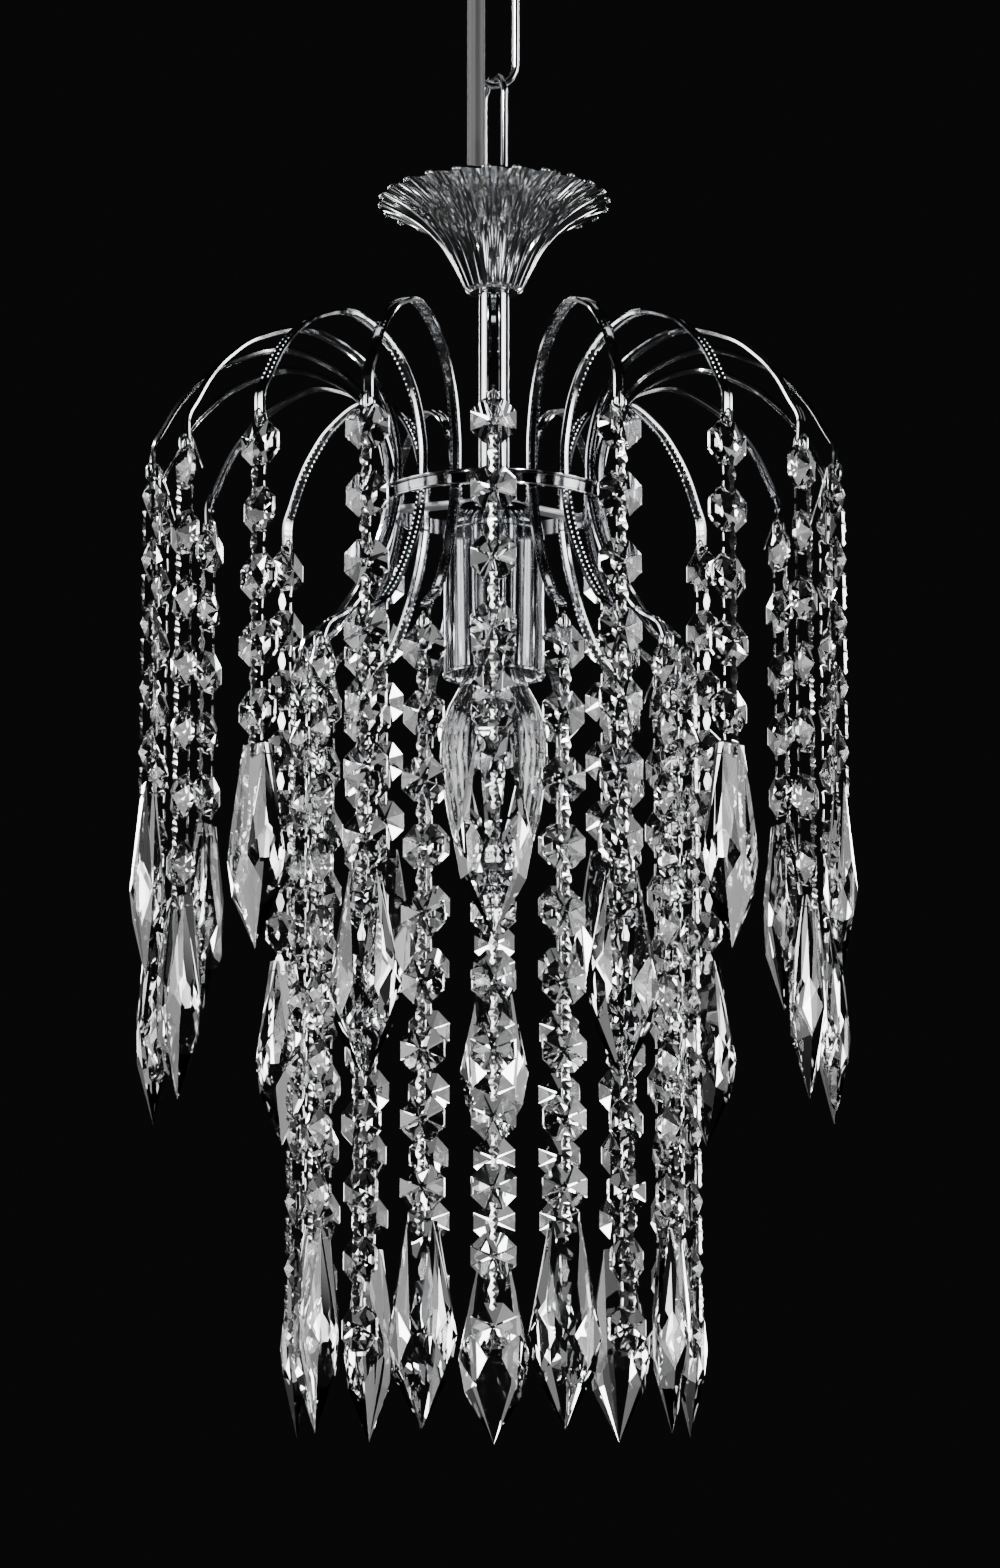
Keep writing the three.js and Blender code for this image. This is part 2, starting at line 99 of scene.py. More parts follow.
class Nodes:
    """A new material's node tree, with its shader at hand."""

    def __init__(self, name: str) -> None:
        """Make the material.

        Args:
            name: the material's name.
        """
        self.material = bpy.data.materials.new(name)
        self.material.use_nodes = True
        self.tree = self.material.node_tree
        self.shader = self.tree.nodes["Principled BSDF"]
        place = self.tree.nodes.new("ShaderNodeTexCoord")
        self.place = place.outputs["Object"]

    def set(self, **values: object) -> None:
        """Set the shader's own sockets; an underscore in a name stands for a space.

        Args:
            values: a value for each socket.
        """
        for key, value in values.items():
            self.shader.inputs[key.replace("_", " ")].default_value = value

    def noise(self, scale: float, detail: float = 3.0, stretch: Vector | None = None):
        """A noise pattern on object coordinates.

        Args:
            scale: how many spots a metre holds.
            detail: how fine the noise goes.
            stretch: a scale for each axis, if the pattern is drawn out.

        Returns:
            The pattern's value socket.
        """
        noise = self.tree.nodes.new("ShaderNodeTexNoise")
        noise.inputs["Scale"].default_value = scale
        noise.inputs["Detail"].default_value = detail
        source = self.place
        if stretch is not None:
            mapping = self.tree.nodes.new("ShaderNodeMapping")
            mapping.inputs["Scale"].default_value = stretch
            self.tree.links.new(self.place, mapping.inputs["Vector"])
            source = mapping.outputs["Vector"]
        self.tree.links.new(source, noise.inputs["Vector"])
        return noise.outputs["Fac"]

    def spread(self, value, low: float, high: float, socket: str) -> None:
        """Drive a number socket between two values by a pattern.

        Args:
            value: the pattern's socket.
            low: the number where the pattern is 0.
            high: the number where the pattern is 1.
            socket: the shader socket's name.
        """
        band = self.tree.nodes.new("ShaderNodeMapRange")
        band.inputs["To Min"].default_value = low
        band.inputs["To Max"].default_value = high
        self.tree.links.new(value, band.inputs["Value"])
        self.tree.links.new(band.outputs["Result"], self.shader.inputs[socket])

    def tint(self, value, dark: Sequence[float], light: Sequence[float]) -> None:
        """Drive the base colour between two colours by a pattern.

        Args:
            value: the pattern's socket.
            dark: the colour at 0.3.
            light: the colour at 0.7.
        """
        ramp = self.tree.nodes.new("ShaderNodeValToRGB")
        ramp.color_ramp.elements[0].position = 0.3
        ramp.color_ramp.elements[1].position = 0.7
        ramp.color_ramp.elements[0].color = (*dark, 1.0)
        ramp.color_ramp.elements[1].color = (*light, 1.0)
        self.tree.links.new(value, ramp.inputs["Fac"])
        self.tree.links.new(ramp.outputs["Color"], self.shader.inputs["Base Color"])

    def bump(self, value, height: float) -> None:
        """Raise the surface by a pattern.

        Args:
            value: the pattern's socket.
            height: the pattern's height, in metres.
        """
        bump = self.tree.nodes.new("ShaderNodeBump")
        bump.inputs["Strength"].default_value = 0.6
        bump.inputs["Distance"].default_value = height
        self.tree.links.new(value, bump.inputs["Height"])
        self.tree.links.new(bump.outputs["Normal"], self.shader.inputs["Normal"])


@dataclass(frozen=True)
class Finish:
    """A finish that its pieces share, made once."""

    name: str
    slot: Slot

    def material(self) -> bpy.types.Material:
        """Give this finish's material, making it the first time."""
        found = bpy.data.materials.get(self.name)
        if found is not None:
            return found
        nodes = Nodes(self.name)
        self.dress(nodes)
        return nodes.material

    def dress(self, nodes: Nodes) -> None:
        """Set the shader; each kind of finish has its own way.

        Args:
            nodes: the new material's nodes.
        """
        raise NotImplementedError


@dataclass(frozen=True)
class Plating(Finish):
    """Bright plated or plain metal, with faint haze where hands and air have dulled it."""

    dark: tuple[float, float, float] = (0.66, 0.67, 0.69)
    light: tuple[float, float, float] = (0.82, 0.83, 0.85)
    polish: float = 0.04
    haze: float = 0.13
    grain: float = 0.00001

    def dress(self, nodes: Nodes) -> None:
        """Set a metal with cloudy tint, uneven polish and a fine grain."""
        nodes.set(Metallic=1.0)
        nodes.tint(nodes.noise(90.0), self.dark, self.light)
        nodes.spread(nodes.noise(260.0, 5.0), self.polish, self.haze, "Roughness")
        nodes.bump(nodes.noise(1800.0, 2.0), self.grain)


@dataclass(frozen=True)
class CutGlass(Finish):
    """Clear glass, cut or blown."""

    index: float = 1.54
    tone: tuple[float, float, float] = (0.985, 0.99, 1.0)
    smear: float = 0.012

    def dress(self, nodes: Nodes) -> None:
        """Set clear glass whose polish is a little uneven."""
        nodes.set(Transmission_Weight=1.0, IOR=self.index)
        shade = tuple(0.97 * part for part in self.tone)
        nodes.tint(nodes.noise(70.0), shade, self.tone)
        nodes.spread(nodes.noise(340.0), 0.0, self.smear, "Roughness")


@dataclass(frozen=True)
class Moulded(Finish):
    """Moulded plastic or a flex's sheath."""

    dark: tuple[float, float, float] = (0.012, 0.012, 0.013)
    light: tuple[float, float, float] = (0.03, 0.03, 0.031)
    rough: float = 0.38
    grain: float = 0.00003
    draw: tuple[float, float, float] = (1.0, 1.0, 1.0)

    def dress(self, nodes: Nodes) -> None:
        """Set a plastic with a faint mottle and a grain that may be drawn out along Z."""
        stretch = Vector(self.draw)
        nodes.tint(nodes.noise(150.0, 3.0, stretch), self.dark, self.light)
        nodes.spread(nodes.noise(320.0, 3.0, stretch), self.rough, self.rough + 0.16, "Roughness")
        nodes.bump(nodes.noise(900.0, 4.0, stretch), self.grain)


CHROME = Plating("polished_chrome", Slot.CHROME)
# A darkened copy of the chrome: painted shade for the ring band's dark face.
SHADED_BAND = Plating("ring_chrome_painted_shade", Slot.CHROME, dark=(0.14, 0.14, 0.15), light=(0.26, 0.26, 0.27), haze=0.1)
# A darkened copy of the chrome: painted shade so that the arms read darker.
KNURLED_PAINTED_SHADE = Plating(
    "knurled_chrome_painted_shade", Slot.CHROME, dark=(0.5, 0.51, 0.53), light=(0.74, 0.75, 0.77), haze=0.09
)
PIN = Plating(
    "nickel_pin", Slot.CHROME, dark=(0.8, 0.8, 0.79), light=(0.92, 0.92, 0.91), polish=0.1, haze=0.24
)
ZINC = Plating(
    "zinc_steel", Slot.ZINC, dark=(0.4, 0.41, 0.43), light=(0.6, 0.61, 0.63), polish=0.25, haze=0.42
)
CAP = Plating("nickel_cap", Slot.CAP, dark=(0.55, 0.54, 0.5), light=(0.72, 0.71, 0.67), polish=0.2, haze=0.34)
FILAMENT = Plating(
    "tungsten", Slot.CAP, dark=(0.1, 0.1, 0.1), light=(0.24, 0.23, 0.22), polish=0.3, haze=0.45
)
CRYSTAL = CutGlass("cut_crystal", Slot.CRYSTAL)
ENVELOPE = CutGlass("lamp_envelope", Slot.LAMP_GLASS, index=1.48, smear=0.02)
SHEATH = Moulded(
    "flex_sheath", Slot.FLEX, dark=(0.06, 0.06, 0.061), light=(0.1, 0.1, 0.101), rough=0.4, draw=(1, 1, 0.05)
)
BLACK = Moulded("black_plastic", Slot.BLACK)


# ---- making meshes --------------------------------------------------------------------------


def piece(
    bm: bmesh.types.BMesh,
    name: str,
    finish: Finish,
    body: str | None,
    stands_for: Iterable[str] = (),
    smooth: float = 35.0,
) -> bpy.types.Object:
    """Turn a bmesh into a finished piece that rides on a body.

    Args:
        bm: the shape, in place, which is freed.
        name: the piece's name.
        finish: its finish.
        body: the body that it rides on, or None if it rides on none.
        stands_for: the frame's nodes that it replaces.
        smooth: the sharpest angle, in degrees, that is still shaded smooth; 0 is all flat.

    Returns:
        The piece's object.
    """
    bmesh.ops.remove_doubles(bm, verts=bm.verts, dist=1e-7)
    bmesh.ops.recalc_face_normals(bm, faces=bm.faces)
    limit = math.radians(smooth)
    for face in bm.faces:
        face.smooth = smooth > 0
    for edge in bm.edges:
        edge.smooth = len(edge.link_faces) == 2 and edge.calc_face_angle(0.0) < limit
    mesh = bpy.data.meshes.new(name)
    bm.to_mesh(mesh)
    bm.free()
    mesh.materials.append(finish.material())
    made = bpy.data.objects.new(name, mesh)
    bpy.context.scene.collection.objects.link(made)
    if body is not None:
        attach(made, body)
    nodes = list(stands_for)
    if nodes:
        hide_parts(*nodes)
    return made


def turned(bm: bmesh.types.BMesh, profile: Profile, steps: int = 64, closed: bool = True) -> list:
    """Turn a profile about Z.

    Args:
        bm: where the shape is added.
        profile: [radius, height] points in metres, in order.
        steps: how many steps a full turn has.
        closed: whether the last point joins the first.

    Returns:
        The new vertices.
    """
    before = set(bm.verts)
    points = [bm.verts.new((radius, 0.0, height)) for radius, height in profile]
    pairs = list(zip(points, points[1:]))
    if closed and profile[0][0] > 1e-9:
        pairs.append((points[-1], points[0]))
    edges = [bm.edges.new(pair) for pair in pairs]
    bmesh.ops.spin(
        bm, geom=points + edges, cent=(0, 0, 0), axis=UP, angle=2 * math.pi, steps=steps, use_merge=True
    )
    new = [vert for vert in bm.verts if vert not in before]
    bmesh.ops.remove_doubles(bm, verts=new, dist=1e-8)
    return [vert for vert in bm.verts if vert not in before]


def move(bm: bmesh.types.BMesh, verts: list, matrix: Matrix) -> None:
    """Transform some of a bmesh's vertices.

    Args:
        bm: the mesh.
        verts: the vertices to move.
        matrix: where they go.
    """
    bmesh.ops.transform(bm, matrix=matrix, verts=verts)


def along(place: Vector, ahead: Vector, side: Vector) -> Matrix:
    """A frame at a point: Z goes ahead, X lies as near as it can to side.

    Args:
        place: the frame's origin.
        ahead: the way forward.
        side: roughly the frame's X.

    Returns:
        The frame's matrix.
    """
    z = ahead.normalized()
    y = z.cross(side).normalized()
    x = y.cross(z)
    return Matrix.Translation(place) @ Matrix((x, y, z)).transposed().to_4x4()


def swept(
    bm: bmesh.types.BMesh,
    path: Sequence[Vector],
    side: Vector,
    section: Callable[[bmesh.types.BMesh], list],
    closed: bool = False,
    girth: Callable[[int], Vector] | None = None,
) -> list:
    """Draw a closed section along a path by extruding it from point to point.

    Args:
        bm: where the shape is added.
        path: the points that it follows.
        side: a direction that the section's X keeps near to.
        section: makes the section's vertices in the XY plane, in order round it.
        closed: whether the path's end joins its start.
        girth: the section's scale at each point, if it changes.

    Returns:
        The new vertices.
    """
    before = set(bm.verts)
    count = len(path)
    scale = girth or (lambda index: Vector((1.0, 1.0, 1.0)))

    def frame_at(index: int) -> Matrix:
        """Give the frame and girth at a point of the path."""
        back = path[(index - 1) % count] if closed else path[max(index - 1, 0)]
        ahead = path[(index + 1) % count] if closed else path[min(index + 1, count - 1)]
        return along(path[index], ahead - back, side) @ Matrix.Diagonal((*scale(index), 1.0))

    ring = section(bm)
    edges = [bm.edges.new((a, b)) for a, b in zip(ring, ring[1:] + ring[:1])]
    here = frame_at(0)
    move(bm, ring, here)
    first = list(edges)
    for index in range(1, count):
        grown = bmesh.ops.extrude_edge_only(bm, edges=edges)["geom"]
        verts = [item for item in grown if isinstance(item, bmesh.types.BMVert)]
        edges = [
            item for item in grown
            if isinstance(item, bmesh.types.BMEdge) and all(end in verts for end in item.verts)
        ]
        there = frame_at(index)
        move(bm, verts, there @ here.inverted())
        here = there
    if closed:
        bmesh.ops.bridge_loops(bm, edges=first + edges)
    else:
        bmesh.ops.holes_fill(bm, edges=first, sides=0)
        bmesh.ops.holes_fill(bm, edges=edges, sides=0)
    return [vert for vert in bm.verts if vert not in before]


def round_section(radius: float, sides: int) -> Callable[[bmesh.types.BMesh], list]:
    """A round section for swept().

    Args:
        radius: its radius.
        sides: how many sides it has.

    Returns:
        The function that makes it.
    """

    def make(bm: bmesh.types.BMesh) -> list:
        """Make the circle's vertices."""
        turn = [2 * math.pi * k / sides for k in range(sides)]
        return [bm.verts.new((radius * math.cos(a), radius * math.sin(a), 0.0)) for a in turn]

    return make


def smooth_line(points: Sequence[Vector], steps: int) -> list[Vector]:
    """A Catmull-Rom line through some points.

    Args:
        points: the points that it goes through.
        steps: how many steps it has in all.

    Returns:
        The line's points.
    """
    line = []
    last = len(points) - 1
    for step in range(steps + 1):
        along_it = last * step / steps
        low = min(int(along_it), last - 1)
        t = along_it - low
        p0, p1 = points[max(low - 1, 0)], points[low]
        p2, p3 = points[low + 1], points[min(low + 2, last)]
        v0, v1 = (p2 - p0) * 0.5, (p3 - p1) * 0.5
        line.append(
            (2 * p1 - 2 * p2 + v0 + v1) * t**3 + (3 * p2 - 3 * p1 - 2 * v0 - v1) * t**2 + v0 * t + p1
        )
    return line


def evenly(line: Sequence[Vector], spacing: float) -> list[Vector]:
    """The same line with its points evenly spaced.

    Args:
        line: the line's points.
        spacing: about how far apart the new points lie.

    Returns:
        The new points, with the same ends.
    """
    reach = [0.0]
    for a, b in zip(line, line[1:]):
        reach.append(reach[-1] + (b - a).length)
    count = max(int(round(reach[-1] / spacing)), 1)
    made, low = [], 0
    for k in range(count + 1):
        want = reach[-1] * k / count
        while low < len(line) - 2 and reach[low + 1] < want:
            low += 1
        span = max(reach[low + 1] - reach[low], 1e-12)
        made.append(line[low].lerp(line[low + 1], (want - reach[low]) / span))
    return made


def oval_path(width: float, length: float, steps: int) -> list[Vector]:
    """The middle line of an upright oval in the XZ plane, about the origin.

    Args:
        width: the middle line's width.
        length: the middle line's height.
        steps: how many steps each half turn has.

    Returns:
        The line's points, from the top of the right-hand rail round.
    """
    bend = width / 2
    rail = length / 2 - bend
    points = []
    for half, lift in ((0, rail), (1, -rail)):
        for step in range(steps + 1):
            angle = math.pi * (half + step / steps)
            points.append(Vector((bend * math.cos(angle), 0.0, lift + bend * math.sin(angle))))
        middle = bend if half else -bend
        gap = (0.3, 0.02, 0.0, -0.02, -0.3)
        for share in gap:
            sign = -1 if half else 1
            points.append(Vector((middle, 0.0, sign * share * rail)))
    return points


def pasted(bm: bmesh.types.BMesh, shape: bpy.types.Mesh, matrix: Matrix) -> None:
    """Add a copy of a ready mesh.

    Args:
        bm: where the copy is added.
        shape: the mesh to copy.
        matrix: where the copy goes.
    """
    count = len(bm.verts)
    bm.from_mesh(shape)
    bm.verts.ensure_lookup_table()
    move(bm, bm.verts[count:], matrix)


def template(bm: bmesh.types.BMesh, name: str) -> bpy.types.Mesh:
    """Keep a bmesh as a mesh that pasted() can copy.

    Args:
        bm: the shape, which is freed.
        name: the mesh's name.

    Returns:
        The mesh.
    """
    bmesh.ops.recalc_face_normals(bm, faces=bm.faces)
    mesh = bpy.data.meshes.new(name)
    bm.to_mesh(mesh)
    bm.free()
    return mesh


def shell(outside: Profile, wall: float) -> list[tuple[float, float]]:
    """Close an open outside profile with an inside one, a wall's thickness away.

    Args:
        outside: the outside, from its foot up.
        wall: the wall's thickness.

    Returns:
        The outside followed by the inside in reverse.
    """
    last = len(outside) - 1
    inner = []
    for k, (radius, height) in enumerate(outside):
        r0, z0 = outside[max(k - 1, 0)]
        r1, z1 = outside[min(k + 1, last)]
        long = math.hypot(r1 - r0, z1 - z0)
        inner.append((max(radius - wall * (z1 - z0) / long, 0.0), height + wall * (r1 - r0) / long))
    return list(outside) + inner[::-1]


def ribbed(verts: Iterable, reach: float, step: float, share: float) -> None:
    """Draw in every other step round the axis, which leaves ribs between them.

    Args:
        verts: the vertices of a turned piece.
        reach: the radius past which they move.
        step: the angle of one step, in degrees.
        share: how far in they go, as a share of their radius.
    """
    for vert in verts:
        turn = math.degrees(math.atan2(vert.co.y, vert.co.x))
        if vert.co.xy.length > reach and round(turn / step) % 2:
            vert.co.x *= share
            vert.co.y *= share


def place_of(joint: str) -> Vector:
    """Give a joint's position at rest.

    Args:
        joint: the joint's name.
    """
    found = next(entry for entry in frame["record"]["behaviour"]["joints"] if entry["name"] == joint)
    return Vector(found["pos_m"])


def blank(bm: bmesh.types.BMesh, loops: Sequence[Sequence[Vector]], drop: float) -> list:
    """Cut a flat blank with holes and give it a thickness.

    Args:
        bm: where the shape is added.
        loops: the outline and then each hole, as points in order.
        drop: how far it goes down from the points.

    Returns:
        The edges round the blank's lower outline.
    """
    edges = []
    for loop in loops:
        verts = [bm.verts.new(point) for point in loop]
        edges += [bm.edges.new(pair) for pair in zip(verts, verts[1:] + verts[:1])]
    made = bmesh.ops.triangle_fill(bm, edges=edges, use_beauty=True, use_dissolve=False)
    faces = [item for item in made["geom"] if isinstance(item, bmesh.types.BMFace)]
    rim_count = len(loops[0])
    grown = bmesh.ops.extrude_face_region(bm, geom=faces, use_keep_orig=True)["geom"]
    lower = [item for item in grown if isinstance(item, bmesh.types.BMVert)]
    bmesh.ops.translate(bm, verts=lower, vec=(0, 0, -drop))
    rim = sorted(lower, key=lambda vert: -Vector(vert.co.xy).length)[:rim_count]
    inside = set(rim)
    return [
        edge for edge in bm.edges
        if edge.verts[0] in inside and edge.verts[1] in inside and len(edge.link_faces) == 2
        and abs(edge.verts[0].co.z - edge.verts[1].co.z) < 1e-9 and edge.calc_face_angle(0.0) > 0.5
    ]


def circle(radius: float, height: float, steps: int, at: Vector | None = None) -> list[Vector]:
    """The points of a level circle.

    Args:
        radius: its radius.
        height: its height.
        steps: how many points it has.
        at: its centre, if that isn't the axis.

    Returns:
        The points in order.
    """
    centre = at if at is not None else Vector((0.0, 0.0, 0.0))
    turn = [2 * math.pi * k / steps for k in range(steps)]
    return [Vector((centre.x + radius * math.cos(a), centre.y + radius * math.sin(a), height)) for a in turn]


def rounded(corner: tuple[float, float], start: float, radius: float, steps: int = 4) -> Profile:
    """The points of a quarter round in a profile.

    Args:
        corner: the round's centre, as radius and height.
        start: the angle that it starts from, in degrees.
        radius: the round's radius, or less than 0 to go backwards.
        steps: how many steps it has.

    Returns:
        The profile's points.
    """
    sign = 1 if radius > 0 else -1
    turn = [math.radians(start + sign * 90 * k / steps) for k in range(steps + 1)]
    return [(corner[0] + abs(radius) * math.cos(a), corner[1] + abs(radius) * math.sin(a)) for a in turn]


def hexagonal(bm: bmesh.types.BMesh, across: float, bore: float, bottom: float, top: float) -> None:
    """A hexagonal nut with eased corners.

    Args:
        bm: where the shape is added.
        across: its radius over the corners.
        bore: its bore's radius.
        bottom: its lower face's height.
        top: its upper face's height.
    """
    ease = 0.5 * MM
    verts = turned(
        bm,
        [(bore, bottom), (across - 2 * ease, bottom), (across, bottom + ease), (across, top - ease),
         (across - 2 * ease, top), (bore, top)],
        steps=36,
    )
    for vert in verts:
        flat = vert.co.xy
        if flat.length > bore * 1.1:
            turn = math.atan2(flat.y, flat.x) % (math.pi / 3) - math.pi / 6
            side = across * math.cos(math.pi / 6) / math.cos(turn)
            share = min(1.0, side / flat.length)
            vert.co.x *= share
            vert.co.y *= share


# ---- ceiling plate, hook and chain ----------------------------------------------------------


@dataclass
class CeilingFitting:
    """The plate against the ceiling, with its screws, its hook and the flex's grommet."""

    edge: float = 1.6 * MM
    screw_offset: float = 20 * MM
    screw_hole: float = 2.2 * MM
    head: float = 4.2 * MM
    head_rise: float = 2.4 * MM
    key: float = 1.5 * MM
    hook_wire: float = 1.5 * MM
    hook_bend: float = 8 * MM
    thread: float = 3.2 * MM
    tip_rise: float = 6 * MM

    def build(self) -> None:
        """Make every piece."""
        low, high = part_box("ceiling_plate")
        self.plate(high.x, low.z)
        for side in (-1, 1):
            self.screw(f"plate_screw_{'right' if side > 0 else 'left'}", side, low.z)
        self.hook(low.z)
        self.grommet()

    def plate(self, radius: float, bottom: float) -> None:
        """The round plate, with holes for its screws, its hook and the flex.

        Args:
            radius: its radius.
            bottom: its lower face's height.
        """
        bm = bmesh.new()
        low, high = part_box("ceiling_grommet")
        centre = (low + high) / 2
        barrel = (high.x - low.x) / 2 - 1.7 * MM
        loops = [circle(radius, 0.0, 96), circle(barrel, 0.0, 32, centre)]
        loops += [
            circle(self.screw_hole, 0.0, 24, Vector((side * self.screw_offset, 0, 0))) for side in (-1, 1)
        ]
        loops.append(circle(self.hook_wire + 0.2 * MM, 0.0, 24))
        rim = blank(bm, loops, -bottom)
        bmesh.ops.bevel(
            bm, geom=rim, offset=self.edge, segments=4, profile=0.5, affect="EDGES", material=-1
        )
        piece(bm, "plate_disc", CHROME, Body.CEILING.value, ["ceiling_plate"], 40)

    def screw(self, name: str, side: int, face: float) -> None:
        """A button-headed screw with a hexagonal key hole.

        Args:
            name: the piece's name.
            side: 1 for the right-hand one, -1 for the left.
            face: the plate's lower face.
        """
        bm = bmesh.new()
        dome = [
            (self.head * math.cos(a), face - self.head_rise * math.sin(a))
            for a in (math.radians(step) for step in (0, 12, 26, 40, 52))
        ]
        shank = self.screw_hole - 0.2 * MM
        turned(bm, [(0.0, -0.5 * MM), (shank, -0.5 * MM), (shank, face), *dome], 36, closed=False)
        edges = [edge for edge in bm.edges if len(edge.link_faces) == 1]
        low = min(vert.co.z for vert in bm.verts)
        key = [bm.verts.new(point) for point in circle(self.key, low, 6)]
        ring = [bm.edges.new(pair) for pair in zip(key, key[1:] + key[:1])]
        bmesh.ops.bridge_loops(bm, edges=edges + ring)
        sunk = bmesh.ops.extrude_edge_only(bm, edges=ring)["geom"]
        verts = [item for item in sunk if isinstance(item, bmesh.types.BMVert)]
        bmesh.ops.translate(bm, verts=verts, vec=(0, 0, 1.2 * MM))
        floor = [
            item for item in sunk
            if isinstance(item, bmesh.types.BMEdge) and all(end in verts for end in item.verts)
        ]
        bmesh.ops.holes_fill(bm, edges=floor, sides=0)
        move(bm, bm.verts, Matrix.Translation((side * self.screw_offset, 0, 0)))
        piece(bm, name, ZINC, Body.CEILING.value)

    def hook(self, face: float) -> None:
        """The question-mark hook, with a rounded tip.

        Args:
            face: the plate's lower face.
        """
        low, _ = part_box("ceiling_hook")
        centre = low.z + self.hook_wire + self.hook_bend
        points = [Vector((0, 0, face + self.thread)), Vector((0, 0, (face + centre + self.hook_bend) / 2))]
        for degrees in range(45, -181, -45):
            angle = math.radians(degrees)
            points.append(
                Vector((0, self.hook_bend * math.cos(angle), centre + self.hook_bend * math.sin(angle)))
            )
        points.append(Vector((0, -self.hook_bend, centre + self.tip_rise)))
        line = smooth_line(points, 90)
        last = len(line) - 1

        def girth(index: int) -> Vector:
            """Narrow the wire to a round tip."""
            left = min((last - index) / 2.4, 1.0)
            share = math.sqrt(max(1 - (1 - left) ** 2, 0.06))
            return Vector((share, share, 1.0))

        bm = bmesh.new()
        swept(bm, line, Vector((1, 0, 0)), round_section(self.hook_wire, 20), girth=girth)
        piece(bm, "hook_wire", CHROME, Body.CEILING.value, ["ceiling_hook"], 50)

    def grommet(self) -> None:
        """The black grommet that the flex goes through."""
        low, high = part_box("ceiling_grommet")
        centre = (low + high) / 2
        flange = (high.x - low.x) / 2
        body, bore = flange - 2 * MM, flange - 3.2 * MM
        lip = 0.7 * MM
        seat = low.z + 1.5 * MM
        bm = bmesh.new()
        profile = [
            *rounded((bore + lip, low.z + lip), 180, lip), *rounded((flange - lip, low.z + lip), 270, lip),
            (flange, seat), (body, seat), (body, high.z), (bore, high.z),
        ]
        turned(bm, profile, 48)
        move(bm, bm.verts, Matrix.Translation((centre.x, centre.y, 0)))
        piece(bm, "grommet_ring", BLACK, Body.CEILING.value, ["ceiling_grommet"], 40)


@dataclass
class Chain:
    """The two oval links, each bent from wire with a butt joint in one rail."""

    wire: float = 1.2 * MM
    width: float = 17 * MM
    turn: float = math.radians(-62)
    steps: int = 22
    joint: float = 0.7

    def build(self) -> None:
        """Make both links."""
        self.link("link_upper", "chain_link_upper", Body.UPPER_LINK, 0.0)
        self.link("link_lower", "chain_link_lower", Body.LOWER_LINK, self.turn)

    def link(self, name: str, node: str, body: Body, turn: float) -> None:
        """One link.

        Args:
            name: the piece's name.
            node: the frame's node that it stands for.
            body: the body that it rides on.
            turn: the way that it faces, about Z.
        """
        low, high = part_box(node)
        path = oval_path(self.width - 2 * self.wire, high.z - low.z - 2 * self.wire, self.steps)
        seam = self.steps + 3

        def girth(index: int) -> Vector:
            """Pinch the wire at its joint."""
            share = self.joint if index == seam else 1.0
            return Vector((share, share, 1.0))

        bm = bmesh.new()
        swept(bm, path, Vector((0, 1, 0)), round_section(self.wire, 18), closed=True, girth=girth)
        place = Matrix.Translation((0, 0, (low.z + high.z) / 2)) @ Matrix.Rotation(turn, 4, "Z")
        move(bm, bm.verts, place)
        piece(bm, name, CHROME, body.value, [node], 50)


@dataclass
class Flex:
    """The grey flex, from the ceiling to the grip, in three lengths."""

    sides: int = 28
    points: int = 13
    finish: Moulded = field(default=SHEATH)

    def build(self) -> None:
        low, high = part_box("flex")
        middle = (low + high) / 2
        radius = (high.x - low.x) / 2
        third = (high.z - low.z) / 3
        for part, name in enumerate(("flex_top", "flex_middle", "flex_foot")):
            top = high.z - part * third
            path = [
                Vector((middle.x, middle.y, top - third * k / (self.points - 1))) for k in range(self.points)
            ]
            bm = bmesh.new()
            swept(bm, path, Vector((1, 0, 0)), round_section(radius, self.sides))
            made = piece(bm, name, self.finish, None, ["flex"], 50)
            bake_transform(made)


# ---- collar, cup and stem -------------------------------------------------------------------


